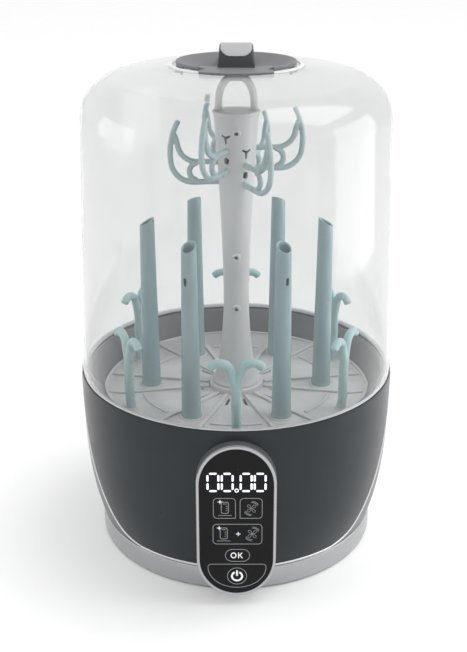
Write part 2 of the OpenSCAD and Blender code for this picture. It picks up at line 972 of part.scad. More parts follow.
module cap_dish() {
    tab_z = dish_z - tab_drop;
    skirt = 45.8;
    color(shell_color)
        difference() {
            union() {
                rotate_extrude($fn = 128)
                    polygon([
                        [0, dish_floor - 3], [30, dish_floor - 3], [skirt, dish_floor - 0.5],
                        [skirt, dish_seat], [dish_r - 0.8, dish_seat],
                        [dish_r, dish_seat + 0.8], [dish_r, dish_z - 0.5],
                        [dish_r - 0.6, dish_z], [dish_r - 2.2, dish_z],
                        [42, dish_z - 3.2], [33, dish_floor + 1.4], [24, dish_floor], [0, dish_floor]
                    ]);
                intersection() {
                    translate([0, 0, dish_floor - 3]) cylinder(h = tab_z - dish_floor + 3, r = skirt);
                    union() {
                        translate([-tab_half, -60, dish_floor - 3]) cube([2 * tab_half, 44, 30]);
                        translate([-strap_w / 2, 16, dish_floor - 3]) cube([strap_w, 30, 30]);
                    }
                }
            }
            translate([-tab_half, -66, tab_z]) cube([2 * tab_half, 30, 20]);
            for (x = [-6, 0, 6])
                translate([x - 1, -9, dish_floor - 10]) cube([2, 18, 20]);
        }
}

strap_foot_y = 23.5;
strap_t = 3.8;

module strap_arc(r) {
    rise = strap_top - (dish_z - tab_drop);
    radius = (strap_foot_y * strap_foot_y + rise * rise) / (2 * rise);
    translate([0, strap_top - radius]) circle(r = radius + r, $fn = 128);
}

module carry_strap() {
    foot_z = dish_z - tab_drop;
    taper_top = 1.4;
    color([0.16, 0.19, 0.21])
        intersection() {
            rotate([90, 0, 90])
                linear_extrude(height = strap_w, center = true)
                    intersection() {
                        difference() {
                            strap_arc(0);
                            strap_arc(-strap_t);
                        }
                        translate([-40, foot_z]) square([80, 40]);
                    }
            rotate([90, 0, 0])
                linear_extrude(height = 80, center = true)
                    polygon([
                        [-strap_w / 2, foot_z - 1], [strap_w / 2, foot_z - 1],
                        [strap_w / 2 - taper_top, strap_top + 1], [-strap_w / 2 + taper_top, strap_top + 1]
                    ]);
        }
}

module strap_inlay() {
    half = 12.4;
    reach = 20.6;
    color(silver_color)
        intersection() {
            rotate([90, 0, 90])
                linear_extrude(height = 2 * half, center = true)
                    difference() {
                        strap_arc(0.7);
                        strap_arc(0);
                    }
            translate([0, 0, strap_top - 20])
                linear_extrude(height = 30)
                    union() {
                        square([2 * half, 2 * (reach - half)], center = true);
                        for (s = [-1, 1])
                            translate([0, s * (reach - half)]) circle(r = half);
                    }
        }
}

// Two snap clips under the dish that hook below the edge of the dome's opening
module cap_clips() {
    clip_w = 8;
    color(shell_color)
        for (s = [-1, 1])
            around(s * 90)
                translate([-clip_w / 2, 0, 0])
                    union() {
                        translate([0, -46.2, 421.8]) cube([clip_w, 2, 4.6]);
                        translate([0, -dish_r, 423.6]) cube([clip_w, dish_r - 45, 2.4]);
                        translate([0, -dish_r, 425]) cube([clip_w, 2, 3.2]);
                    }
}

// ---- Assembly ----

front_shell();
rear_shell();
trim_band();
foot_ring();
bottom_cover();
foot_pad();
bottom_screws();
inner_bowl();
rim_seal();
heating_plate();
heating_element();
plate_gasket();
thermostat();
fan_housing();
fan_motor();
fan_impeller();
air_duct();
air_heater();
air_outlet();
air_filter();
filter_cover();
panel_housing();
panel_glass();
display_digits();
touch_keys();
display_board();
main_board();
cord_gland();
rack_tray();
for (i = [0:5])
    bottle_post(i);
for (i = [0:5])
    hook(i);
column();
column_cap();
for (i = [0:5])
    branch(i);
dome_shell();
cap_dish();
carry_strap();
strap_inlay();
cap_clips();
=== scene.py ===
import json
from math import acos, asin, atan, atan2, cos, degrees, exp, hypot, pi, radians, sin, sqrt, tan

import bmesh
import bpy
from mathutils import Matrix, Vector
from mathutils.geometry import tessellate_polygon


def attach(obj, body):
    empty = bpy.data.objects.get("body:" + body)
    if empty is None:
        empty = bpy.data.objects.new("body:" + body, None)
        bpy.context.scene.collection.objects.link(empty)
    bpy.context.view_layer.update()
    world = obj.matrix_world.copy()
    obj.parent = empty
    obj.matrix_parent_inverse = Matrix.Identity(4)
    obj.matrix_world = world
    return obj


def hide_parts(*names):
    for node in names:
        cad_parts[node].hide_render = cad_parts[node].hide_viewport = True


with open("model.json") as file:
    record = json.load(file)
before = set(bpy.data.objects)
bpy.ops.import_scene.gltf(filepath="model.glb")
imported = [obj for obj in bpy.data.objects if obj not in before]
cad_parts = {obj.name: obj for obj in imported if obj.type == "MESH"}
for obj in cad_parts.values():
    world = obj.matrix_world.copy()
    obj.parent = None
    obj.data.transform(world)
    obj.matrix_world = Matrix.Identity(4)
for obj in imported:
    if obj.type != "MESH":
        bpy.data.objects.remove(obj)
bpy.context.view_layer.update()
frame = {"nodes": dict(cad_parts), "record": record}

MM = 0.001

# ---- Dimensions, in millimetres: the CAD's, but for the bowl's lip, the cap dish and the trim line ----
RIM_R, RIM_Z = 140.0, 162.0
FOOT_R, FOOT_TOP = 126.3, 21.0
CASING_LOW, TAPER, WALL, TRIM_W = 22.0, 14.0, 2.6, 1.8
POD_W, POD_LOW, POD_HIGH, POD_FACE, BEZEL_W = 66.4, 10.8, 154.0, 150.0, 2.5
GLASS_Y = POD_FACE - 0.4
DOME_R, SHOULDER_R, SHOULDER_Z, SHOULDER_ROUND, DOME_WALL = 139.3, 131.1, 388.0, 35.0, 2.4
DISH_R, DISH_Z, TAB_Z, DISH_FLOOR = 50.4, 434.7, 432.5, 427.0
OVAL = 0.81
STRAP_W, STRAP_TOP, STRAP_T, STRAP_FOOT_Y = 30.8, 447.7, 3.8, 23.5
RACK_Z, RACK_T, RACK_R = 138.0, 2.7, 121.9
POST_PITCH, POST_R, POST_TOP_R, POST_Z = 78.0, 8.5, 6.35, 298.5
HOOK_PITCH, HOOK_Z = 107.5, 212.0
WAIST_R, WAIST_Z, COLUMN_TOP, LOOP_TOP = 11.3, 228.0, 395.0, 421.0
BRANCH_HIGH, BRANCH_LOW, ARM_DROP, ROD_R = 361.0, 348.5, 17.0, 2.4
CHANNEL_Z, LIP_R, LIP_T, LIP_Z, BASIN_R, PLATE_R = 156.5, 131.6, 2.2, 159.4, 116.0, 62.0
BOWL_LEDGE, BOWL_FLOOR, BOWL_T = 135.0, 104.0, 2.4
CHIMNEY = (-63.0, 56.0)
CHIMNEY_R = 13.0
GLAND_ANGLE, GLAND_Z, CORD_R = 145.0, 36.0, 3.6
POST_ANGLES = (-150, -90, -30, 30, 90, 150)
HOOK_ANGLES = (0, 60, 120, 180, 240, 300)
BRANCH_ANGLES = (-30, 30, 90, 150, -150, -90)
BRANCHES = [(a, BRANCH_LOW if i % 2 else BRANCH_HIGH) for i, a in enumerate(BRANCH_ANGLES)]
NOZZLES = (377.0, 265.6, 217.0)
TRIM_LOW, FASCIA_LOW, BEAD_LOW = 24.0, 24.15, 22.9
ROW_EASE = 1.6  # crowds the rows of the casing's grids towards its foot
FILTER_Z = 48.0  # middle of the rear door
COLUMN_WALL = 2.4
SKIRT_Z, SEAT_Z = 160.3, 162.3  # lower edge of the dome, and where it sits on the casing's rim
CROWN, BEAD_R, OVAL_SPAN = 80, 57.4, 30.0  # the crown's slope, and where it starts to turn oval
TONGUE_W, TONGUE_Y = 30.2, -47.0  # half width and front of the dish's tongue
CAMERA_TILT = 0.4  # radians below level


def casing_r(z):
    return RIM_R - TAPER * (max(0.0, RIM_Z - z) / (RIM_Z - CASING_LOW)) ** 3.2


def column_r(z):
    if z > WAIST_Z:
        return WAIST_R + 0.00297 * (z - WAIST_Z) ** 1.55
    return WAIST_R + 0.000527 * (WAIST_Z - z) ** 2.2


def trim_y(z):
    """How far forward the casing's trim line lies at a height."""
    sweep = 57 * (max(0.0, RIM_Z - z) / (RIM_Z - TRIM_LOW)) ** 1.3
    return -TRIM_LOW - sweep - 14 * exp((TRIM_LOW - z) / 4)


def spin(angle):
    """Turns a piece drawn at the front of the object to an angle, counted from -Y towards +X."""
    return Matrix.Rotation(radians(angle), 4, "Z")


def shift(x, y, z):
    return Matrix.Translation((x, y, z))


# ---- Materials ----

def make(tree, kind, **values):
    """A new shader node with constants on its sockets; _ stands for a space in a socket's name."""
    node = tree.nodes.new("ShaderNode" + kind)
    for name, value in values.items():
        node.inputs[name.replace("_", " ")].default_value = value
    return node


def material(name, color, rough, metallic=0.0, grain=420.0, bump=0.03, spread=0.06,
             rough_spread=0.06, wear=0.06, coat=0.0, ior=1.5, round_edge=0.0, streak=None,
             transmission=0.0, emission=None, fine=0.0006, sheen=0.0):
    """A moulded or painted finish: cloudy colour, uneven gloss, fine grain and paler edges."""
    mat = bpy.data.materials.new(name)
    mat.use_nodes = True
    tree = mat.node_tree
    tree.nodes.clear()
    link = tree.links.new
    out = make(tree, "OutputMaterial")
    bsdf = make(tree, "BsdfPrincipled", Metallic=metallic, IOR=ior, Coat_Weight=coat,
                Coat_Roughness=0.12, Transmission_Weight=transmission, Sheen_Weight=sheen)
    link(bsdf.outputs["BSDF"], out.inputs["Surface"])
    where = make(tree, "TexCoord").outputs["Object"]
    if streak:
        mapping = make(tree, "Mapping", Scale=streak)
        link(where, mapping.inputs["Vector"])
        where = mapping.outputs["Vector"]

    cloud = make(tree, "TexNoise", Scale=26.0, Detail=5.0, Roughness=0.6)
    link(where, cloud.inputs["Vector"])
    ramp = make(tree, "ValToRGB")
    low, high = ramp.color_ramp.elements
    low.position, high.position = 0.3, 0.7
    low.color = (*(max(0.0, c * (1 - spread)) for c in color), 1)
    high.color = (*(min(1.0, c * (1 + spread)) for c in color), 1)
    link(cloud.outputs["Fac"], ramp.inputs["Fac"])
    tint = ramp.outputs["Color"]
    if wear:
        geometry = make(tree, "NewGeometry")
        edge = make(tree, "MapRange", From_Min=0.53, From_Max=0.62, To_Max=wear)
        link(geometry.outputs["Pointiness"], edge.inputs["Value"])
        mix = make(tree, "Mix")
        mix.data_type = "RGBA"
        mix.inputs["B"].default_value = (*(min(1.0, 0.25 + c * 1.15) for c in color), 1)
        link(edge.outputs["Result"], mix.inputs["Factor"])
        link(tint, mix.inputs["A"])
        tint = mix.outputs["Result"]
    link(tint, bsdf.inputs["Base Color"])

    smear = make(tree, "TexNoise", Scale=60.0, Detail=6.0)
    link(where, smear.inputs["Vector"])
    gloss = make(tree, "MapRange", To_Min=max(0.0, rough - rough_spread),
                 To_Max=min(1.0, rough + rough_spread))
    link(smear.outputs["Fac"], gloss.inputs["Value"])
    link(gloss.outputs["Result"], bsdf.inputs["Roughness"])

    grains = make(tree, "TexNoise", Scale=grain, Detail=3.0)
    link(where, grains.inputs["Vector"])
    relief = make(tree, "Bump", Strength=bump, Distance=fine)
    link(grains.outputs["Fac"], relief.inputs["Height"])
    if round_edge:
        bevel = make(tree, "Bevel", Radius=round_edge * MM)
        bevel.samples = 4
        link(bevel.outputs["Normal"], relief.inputs["Normal"])
    link(relief.outputs["Normal"], bsdf.inputs["Normal"])
    if emission:
        bsdf.inputs["Emission Color"].default_value = (*emission[0], 1)
        bsdf.inputs["Emission Strength"].default_value = emission[1]
    return mat


def gauze_material(name, color):
    """Pleated filter fleece: crossed fibres under a soft fuzz."""
    mat = material(name, color, 0.9, grain=900, bump=0.35, spread=0.05, wear=0, sheen=0.4)
    tree = mat.node_tree
    wave = make(tree, "TexWave", Scale=500, Distortion=8)
    bump = next(n for n in tree.nodes if n.type == "BUMP")
    second = make(tree, "Bump", Strength=0.3, Distance=0.0002)
    tree.links.new(wave.outputs["Fac"], second.inputs["Height"])
    tree.links.new(second.outputs["Normal"], bump.inputs["Normal"])
    return mat


def board_material(name):
    """Green solder mask with paler copper tracks below it."""
    mat = material(name, (0.02, 0.16, 0.07), 0.38, grain=300, bump=0.05, wear=0)
    tree = mat.node_tree
    coord = make(tree, "TexCoord")
    bricks = make(tree, "TexBrick", Scale=160, Mortar_Size=0.03, Color1=(0.018, 0.14, 0.06, 1),
                  Color2=(0.02, 0.18, 0.08, 1), Mortar=(0.10, 0.34, 0.14, 1))
    bsdf = next(n for n in tree.nodes if n.type == "BSDF_PRINCIPLED")
    tree.links.new(coord.outputs["Object"], bricks.inputs["Vector"])
    tree.links.new(bricks.outputs["Color"], bsdf.inputs["Base Color"])
    return mat


def clear_material(name):
    """Polished clear plastic with a faint tint and faint moulding waves.

    Its index is lower than a real plastic's, so that the thin wall hardly shifts what is
    behind it; the coat brings back the reflections that this takes away.
    """
    return material(name, (0.84, 0.848, 0.848), 0.02, grain=9, bump=0.02, spread=0.012,
                    rough_spread=0.01, wear=0, coat=0.75, transmission=1.0, ior=1.12, fine=0.0008)


MATS = {
    "shell_dark": material("navy_grey_satin", (0.0145, 0.0205, 0.025), 0.30, grain=700, bump=0.02,
                           spread=0.08, wear=0.05, ior=1.36),
    "shell_rear": material("mid_grey_satin", (0.115, 0.12, 0.13), 0.36, grain=700, bump=0.035, wear=0.08),
    "silver": material("silver_paint", (0.44, 0.445, 0.455), 0.30, metallic=0.85, grain=1500, bump=0.006,
                       spread=0.015, rough_spread=0.03, wear=0.02),
    "black_plastic": material("black_grained_plastic", (0.02, 0.021, 0.023), 0.55, grain=900, bump=0.15,
                              round_edge=0.4),
    "rubber": material("black_rubber", (0.018, 0.018, 0.019), 0.8, grain=1200, bump=0.2, wear=0.05),
    "steel": material("brushed_steel", (0.58, 0.58, 0.59), 0.34, metallic=1.0, grain=260, bump=0.08,
                      streak=(1, 14, 1), rough_spread=0.1, wear=0.1, round_edge=0.2),
    "bowl_grey": material("bowl_grey_gloss", (0.135, 0.138, 0.145), 0.24, grain=500, bump=0.015,
                          wear=0.06),
    "silicone": material("pale_silicone", (0.60, 0.60, 0.58), 0.6, grain=900, bump=0.05, wear=0),
    "element": material("oxidised_heater_tube", (0.30, 0.20, 0.13), 0.5, metallic=0.7, grain=500,
                        bump=0.2, spread=0.25, rough_spread=0.15),
    "ceramic": material("thermostat_ceramic", (0.72, 0.67, 0.55), 0.5, grain=900, bump=0.08,
                        round_edge=0.3),
    "white_plastic": material("white_plastic", (0.72, 0.73, 0.73), 0.4, grain=700, bump=0.03,
                              round_edge=0.3),
    "filter_paper": gauze_material("filter_fleece", (0.80, 0.79, 0.75)),
    "panel_black": material("panel_black_glass", (0.006, 0.006, 0.007), 0.08, grain=300, bump=0.004,
                            rough_spread=0.03, wear=0.0, ior=1.25),
    "display_white": material("display_light", (0.6, 0.61, 0.61), 0.4, bump=0.01, wear=0,
                              emission=((0.93, 0.98, 1.0), 0.75)),
    "key_print": material("key_print", (0.30, 0.305, 0.31), 0.4, bump=0.01, wear=0,
                          emission=((0.9, 0.93, 0.95), 0.05)),
    "circuit_board": board_material("circuit_board"),
    "rack_grey": material("rack_grey_gloss", (0.50, 0.502, 0.50), 0.2, grain=420, bump=0.012,
                          rough_spread=0.05, wear=0.1),
    "column_grey": material("column_grey_gloss", (0.55, 0.552, 0.554), 0.3, grain=420, bump=0.01,
                            spread=0.03,
                            wear=0.04),
    "post_teal": material("post_teal_gloss", (0.265, 0.37, 0.39), 0.25, grain=420, bump=0.015, wear=0.06),
    "hook_mint": material("hook_mint_gloss", (0.36, 0.53, 0.53), 0.28, grain=420, bump=0.015, wear=0.04),
    "branch_teal": material("branch_teal_gloss", (0.37, 0.47, 0.485), 0.28, grain=420, bump=0.015,
                            wear=0.04),
    "dome_clear": clear_material("dome_clear_plastic"),
    # Pale, half-opaque finish on the dome's skirt, seat and cap bead: a painted highlight along these edges.
    "dome_edge": material("dome_edge_painted_highlight", (0.80, 0.805, 0.805), 0.3, grain=300, bump=0.01, spread=0.02,
                          wear=0, transmission=0.2, ior=1.3),
    # A paler copy of the silver paint for the trim bead, so that the trim reads as a bright line: a painted
    # highlight.
    "bead_silver": material("trim_silver_painted_highlight", (0.66, 0.665, 0.675), 0.26, metallic=0.6, grain=1500,
                            bump=0.006, spread=0.015, rough_spread=0.03, wear=0.02),
    "lit_print": material("lit_print", (0.62, 0.63, 0.63), 0.4, bump=0.01, wear=0,
                          emission=((0.93, 0.98, 1.0), 0.28)),
    "cap_grey": material("cap_grey_satin", (0.19, 0.195, 0.20), 0.45, ior=1.28, grain=700, bump=0.025,
                         wear=0.06,
                         round_edge=0.5),
    "strap_dark": material("strap_navy_satin", (0.011, 0.018, 0.023), 0.24, grain=700, bump=0.02,
                           wear=0.06),
    "inlay_grey": material("inlay_grey_satin", (0.40, 0.405, 0.405), 0.5, grain=700, bump=0.03,
                           wear=0.04),
}
SLOTS = {row["node"]: row["material_slot"] for row in frame["record"]["subparts"]}


# ---- Geometry helpers, in millimetres: each returns (points, faces) ----

def arc(cx, cy, r, first, last, n=12):
    return [(cx + r * cos(radians(first + (last - first) * k / n)),
             cy + r * sin(radians(first + (last - first) * k / n))) for k in range(n + 1)]


def ellipse(cx, cy, a, b, n):
    return [(cx + a * cos(2 * pi * k / n), cy + b * sin(2 * pi * k / n)) for k in range(n)]


def fillet(points, steps=4):
    """Rounds the corners of a closed outline of (x, y, radius)."""
    out, n = [], len(points)
    for i, (x, y, r) in enumerate(points):
        if r <= 0:
            out.append((x, y))
            continue
        p = Vector((x, y))
        a, b = Vector(points[i - 1][:2]) - p, Vector(points[(i + 1) % n][:2]) - p
        la, lb = a.length, b.length
        a.normalize()
        b.normalize()
        half = max(0.01, min(pi / 2 - 0.001, a.angle(b) / 2))
        d = min(r / tan(half), 0.49 * la, 0.49 * lb)
        rr = d * tan(half)
        c = p + (a + b).normalized() * (rr / sin(half))
        start, end = p + a * d - c, p + b * d - c
        t0, t1 = atan2(start.y, start.x), atan2(end.y, end.x)
        turn = (t1 - t0 + pi) % (2 * pi) - pi
        out += [(c.x + rr * cos(t0 + turn * k / steps), c.y + rr * sin(t0 + turn * k / steps))
                for k in range(steps + 1)]
    return out


def grid(rows, wrap_rows=False, wrap_cols=False):
    n, m = len(rows), len(rows[0])
    points = [Vector(p) for row in rows for p in row]
    faces = []
    for i in range(n if wrap_rows else n - 1):
        for j in range(m if wrap_cols else m - 1):
            a, b = i, (i + 1) % n
            c, d = j, (j + 1) % m
            faces.append((a * m + c, a * m + d, b * m + d, b * m + c))
    return points, faces


def capped(rows):
    """A skin over closed rows, shut at both ends."""
    points, faces = grid(rows, wrap_cols=True)
    n, m = len(rows), len(rows[0])
    return points, faces + [tuple(range(m)), tuple(range((n - 1) * m, n * m))]


def lathe(profile, segments=160, closed=True, centre=(0, 0)):
    rows = []
    for k in range(segments):
        t = 2 * pi * k / segments
        rows.append([(centre[0] + r * cos(t), centre[1] + r * sin(t), z) for r, z in profile])
    return grid(rows, wrap_rows=True, wrap_cols=closed)


def slab(outer, inner):
    """A closed wall between two grids of the same size."""
    n, m = len(outer), len(outer[0])
    points, faces = grid(outer)
    more, back = grid(inner)
    k = len(points)
    points += more
    faces += [tuple(reversed([i + k for i in f])) for f in back]
    border = [(0, j) for j in range(m)] + [(i, m - 1) for i in range(1, n)]
    border += [(n - 1, j) for j in range(m - 2, -1, -1)] + [(i, 0) for i in range(n - 2, 0, -1)]
    for (a, b), (c, d) in zip(border, border[1:] + border[:1]):
        faces.append((a * m + b, c * m + d, c * m + d + k, a * m + b + k))
    return points, faces


def inward(loop):
    """The way into the material at each point of a loop that has it on its left."""
    out, n = [], len(loop)
    for i in range(n):
        p, a, b = Vector(loop[i]), Vector(loop[i - 1]), Vector(loop[(i + 1) % n])
        e, f = (p - a).normalized(), (b - p).normalized()
        v = Vector((-e.y, e.x)) + Vector((-f.y, f.x))
        if v.length < 1e-6:
            v = Vector((-f.y, f.x))
        v.normalize()
        out.append(v / max(0.4, v.dot(Vector((-f.y, f.x)))))
    return out


def area(loop):
    return sum(a[0] * b[1] - b[0] * a[1] for a, b in zip(loop, loop[1:] + loop[:1])) / 2


def plate(loops, low, high, edge=0.0, steps=3, place=None):
    """A flat plate with an outline and holes, its edges rounded, laid by place(u, v, w)."""
    place = place or (lambda u, v, w: (u, v, w))
    if edge:
        angles = [radians(90 * k / steps) for k in range(steps + 1)]
        levels = [(edge * (1 - sin(a)), low + edge * (1 - cos(a))) for a in angles]
        levels += [(inset, high + low - w) for inset, w in reversed(levels)]
    else:
        levels = [(0, low), (0, high)]
    points, faces, under, over = [], [], [], []
    for k, loop in enumerate(loops):
        loop = list(loop)
        if (area(loop) > 0) != (k == 0):
            loop.reverse()
        ways, n, first = inward(loop), len(loop), len(points)
        for inset, w in levels:
            points += [Vector((p[0] + v.x * inset, p[1] + v.y * inset, w)) for p, v in zip(loop, ways)]
        for level in range(len(levels) - 1):
            for i in range(n):
                j = (i + 1) % n
                a, b = first + level * n, first + (level + 1) * n
                faces.append((a + i, a + j, b + j, b + i))
        under.append(list(range(first, first + n)))
        top = first + (len(levels) - 1) * n
        over.append(list(range(top, top + n)))
    for side in (under, over):
        flat = [i for loop in side for i in loop]
        tris = tessellate_polygon([[points[i] for i in loop] for loop in side])
        faces += [tuple(flat[i] for i in tri) for tri in tris]
    return [Vector(place(*p)) for p in points], faces


def tube(path, radius, segments=20, start=None, end=None):
    """A round rod along a path. radius is one number or one per point; start and end round its tips."""
    path = [Vector(p) for p in path]
    radii = list(radius) if hasattr(radius, "__len__") else [radius] * len(path)
    tangents = []
    for i in range(len(path)):
        a, b = path[max(0, i - 1)], path[min(len(path) - 1, i + 1)]
        tangents.append((b - a).normalized())
    side = tangents[0].orthogonal().normalized()
    frames = []
    for p, t in zip(path, tangents):
        side = (side - t * side.dot(t)).normalized()
        frames.append((p, t, side, t.cross(side)))

    def ring(centre, s, u, r):
        return [centre + s * (r * cos(2 * pi * k / segments)) + u * (r * sin(2 * pi * k / segments))
                for k in range(segments)]

    def tip(index, turn, depth):
        p, t, s, u = frames[index]
        r = radii[index]
        c = min(depth or 0.01, r)
        rings = [ring(p + t * (turn * c * sin(radians(a))), s, u, max(0.0, r - c * (1 - cos(radians(a)))))
                 for a in (30, 60, 90)]
        return rings + [[p + t * (turn * c)] * segments]

    rows = [ring(p, s, u, r) for (p, _, s, u), r in zip(frames, radii)]
    return grid(tip(0, -1, start)[::-1] + rows + tip(-1, 1, end), wrap_cols=True)


def smooth_path(points, per=8):
    """Catmull-Rom curve through the points."""
    pts = [Vector(p) for p in points]
    pts = [pts[0] * 2 - pts[1]] + pts + [pts[-1] * 2 - pts[-2]]
    out = []
    for i in range(1, len(pts) - 2):
        a, b, c, d = pts[i - 1:i + 3]
        for k in range(per):
            t = k / per
            out.append(0.5 * ((2 * b) + (c - a) * t + (2 * a - 5 * b + 4 * c - d) * t * t
                              + (3 * b - a - 3 * c + d) * t ** 3))
    out.append(pts[-2])
    return out


def box(x0, x1, y0, y1, z0, z1):
    p = [(x, y, z) for z in (z0, z1) for x, y in ((x0, y0), (x1, y0), (x1, y1), (x0, y1))]
    return [Vector(q) for q in p], [(0, 3, 2, 1), (4, 5, 6, 7), (0, 1, 5, 4), (1, 2, 6, 5), (2, 3, 7, 6),
                                    (3, 0, 4, 7)]


def moved(part, matrix):
    return [matrix @ Vector(p) for p in part[0]], part[1]


def linked(name, data):
    """A new object in the scene."""
    obj = bpy.data.objects.new(name, data)
    bpy.context.scene.collection.objects.link(obj)
    return obj


def bake(obj):
    """Applies the modifiers."""
    graph = bpy.context.evaluated_depsgraph_get()
    mesh = bpy.data.meshes.new_from_object(obj.evaluated_get(graph))
    obj.modifiers.clear()
    old, obj.data = obj.data, mesh
    bpy.data.meshes.remove(old)


class Piece:
    """Collects parts of one visual piece, in millimetres, and makes it a mesh object in metres."""

    def __init__(self, *parts):
        self.points, self.faces, self.paint = [], [], []
        for part in parts:
            self.add(part)

    def add(self, part, paint=0, turn=None):
        first = len(self.points)
        self.points += [turn @ Vector(p) if turn else Vector(p) for p in part[0]]
        self.faces += [tuple(i + first for i in f) for f in part[1]]
        self.paint += [paint] * len(part[1])
        return self

    def mesh(self, name, mats=()):
        mesh = bpy.data.meshes.new(name)
        mesh.from_pydata([p * MM for p in self.points], [], self.faces)
        for mat in mats:
            mesh.materials.append(mat)
        mesh.polygons.foreach_set("material_index", self.paint)
        bm = bmesh.new()
        bm.from_mesh(mesh)
        bmesh.ops.remove_doubles(bm, verts=bm.verts, dist=2e-6)
        bmesh.ops.recalc_face_normals(bm, faces=bm.faces)
        bm.to_mesh(mesh)
        bm.free()
        return linked(name, mesh)

    def cut_from(self, obj, operation="DIFFERENCE", self_cross=False):
        """Cuts this piece out of obj, or melts it in with the operation UNION."""
        tool = self.mesh("tool", [obj.data.materials[0]])
        mod = obj.modifiers.new("Cut", "BOOLEAN")
        mod.operation = operation
        mod.solver = "EXACT"
        mod.use_self = self_cross
        mod.object = tool
        bake(obj)
        bpy.data.objects.remove(tool)


def dress(obj, body, nodes=(), sharp=34):
    """Smooth shading, and the piece's body and nodes."""
    obj.data.shade_smooth()
    obj.data.set_sharp_from_angle(angle=radians(sharp))
    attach(obj, body)
    if nodes:
        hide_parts(*nodes)


def soften(obj, width):
    """Rounds the sharp edges."""
    mod = obj.modifiers.new("Bevel", "BEVEL")
    mod.width = width * MM
    mod.segments = 3
    mod.limit_method = "ANGLE"
    mod.angle_limit = radians(40)
    mod.harden_normals = False
    bake(obj)
    return obj


def fuse(obj, voxel, smooth):
    """Melts overlapping rods into one moulded body with soft junctions."""
    mod = obj.modifiers.new("Remesh", "REMESH")
    mod.mode = "VOXEL"
    mod.voxel_size = voxel * MM
    mod.use_smooth_shade = True
    even = obj.modifiers.new("Smooth", "SMOOTH")
    even.iterations = smooth
    even.factor = 0.5
    bake(obj)
    return obj


def copy_turned(obj, name, turn):
    mesh = obj.data.copy()
    mesh.transform(turn)
    mesh.name = name
    return linked(name, mesh)


# ---- Casing ----

def fascia_rows(inset, rows=72, cols=72):
    out = []
    for i in range(rows + 1):
        z = FASCIA_LOW + (RIM_Z - FASCIA_LOW) * (i / rows) ** ROW_EASE
        edge = degrees(acos(min(1, -trim_y(z) / casing_r(z)))) - 0.12
        r = casing_r(z) - inset
        out.append([(r * sin(radians(a)), -r * cos(radians(a)), z)
                    for a in [edge * (2 * j / cols - 1) for j in range(cols + 1)]])
    return out


def rear_rows(inset, rows=72, cols=120):
    out = []
    for i in range(rows + 1):
        z = CASING_LOW + (RIM_Z - CASING_LOW) * (i / rows) ** ROW_EASE
        y = trim_y(min(RIM_Z, max(TRIM_LOW, z + TRIM_W))) + TRIM_W
        edge = degrees(acos(min(1, -y / casing_r(z)))) + 0.12
        r = casing_r(z) - inset
        out.append([(r * sin(radians(a)), -r * cos(radians(a)), z)
                    for a in [edge + (360 - 2 * edge) * j / cols for j in range(cols + 1)]])
    return out


fascia = Piece(slab(fascia_rows(0), fascia_rows(WALL))).mesh("front_fascia", [MATS["shell_dark"]])
dress(soften(fascia, 0.45), "base", ("front_shell",))

rear = Piece(slab(rear_rows(0), rear_rows(WALL))).mesh("rear_casing", [MATS["shell_rear"]])
soften(rear, 0.45)


def round_rect(cx, cy, w, h, radii, n=6):
    """Outline of a box with its corner radii given from the top right, counterclockwise."""
    radii = radii if hasattr(radii, "__len__") else (radii,) * 4
    out = []
    for (sx, sy, first), r in zip(((1, 1, 0), (-1, 1, 90), (-1, -1, 180), (1, -1, 270)), radii):
        r = max(r, 0.02)
        out += arc(cx + sx * (w / 2 - r), cy + sy * (h / 2 - r), r, first, first + 90, n)
    return out


def to_front(u, v, w):
    """Lays an outline (x, z) in the plane that faces -Y, w in front of the axis."""
    return (u, -w, v)


def to_back(u, v, w):
    return (u, w, v)


def gland_matrix():
    tilt = atan((casing_r(GLAND_Z + 1) - casing_r(GLAND_Z - 1)) / 2)
    return (spin(GLAND_ANGLE) @ shift(0, -casing_r(GLAND_Z), GLAND_Z)
            @ Matrix.Rotation(pi / 2 + tilt, 4, "X"))


door_hole = plate([round_rect(0, FILTER_Z, 76.8, 40.8, 2.2)], 90, 150, place=to_back)
gland_hole = lathe([(0.0, -30), (9.2, -30), (9.2, 30), (0.0, 30)], 48, closed=False)
Piece(door_hole).cut_from(rear)
Piece(moved(gland_hole, gland_matrix())).cut_from(rear)
dress(rear, "base", ("rear_shell",))


def bead_path(steps=150):
    """Points along the trim line on the casing, from the right rim round the front to the left rim."""
    side = []
    for i in range(steps + 1):
        z = BEAD_LOW + (RIM_Z - 0.4 - BEAD_LOW) * (1 - i / steps) ** ROW_EASE
        y = trim_y(max(TRIM_LOW, z + TRIM_W / 2)) + TRIM_W / 2
        a = acos(min(1, -y / casing_r(z)))
        side.append((a, z))
    last = side[-1][0]
    front = [(last * (1 - k / 30), BEAD_LOW) for k in range(1, 30)]
    half = side + front
    return half + [(0.0, BEAD_LOW)] + [(-a, z) for a, z in reversed(half)]


def bead():
    spots = bead_path()
    rows = []
    points = [Vector((casing_r(z) * sin(a), -casing_r(z) * cos(a), z)) for a, z in spots]
    n = len(points)
    for i, ((a, z), p) in enumerate(zip(spots, points)):
        slope = casing_r(z + 0.5) - casing_r(z - 0.5)
        normal = Vector((sin(a), -cos(a), -slope)).normalized()
        way = (points[min(n - 1, i + 1)] - points[max(0, i - 1)]).normalized()
        across = normal.cross(way).normalized()
        swell = 1 + 0.35 * exp(-((z - 34) / 26) ** 2)
        half = 0.98 * swell
        section = [(-half, -1.6), (-half, 0.0), (-0.85 * half, 0.42), (-0.5 * half, 0.68), (0, 0.78),
                   (0.5 * half, 0.68), (0.85 * half, 0.42), (half, 0.0), (half, -1.6)]
        rows.append([p + across * u + normal * w for u, w in section])
    return capped(rows)


# The trim bead takes the paler silver, a painted highlight along the trim line.
dress(Piece(bead()).mesh("trim_bead", [MATS["bead_silver"]]), "base", ("trim_band",))

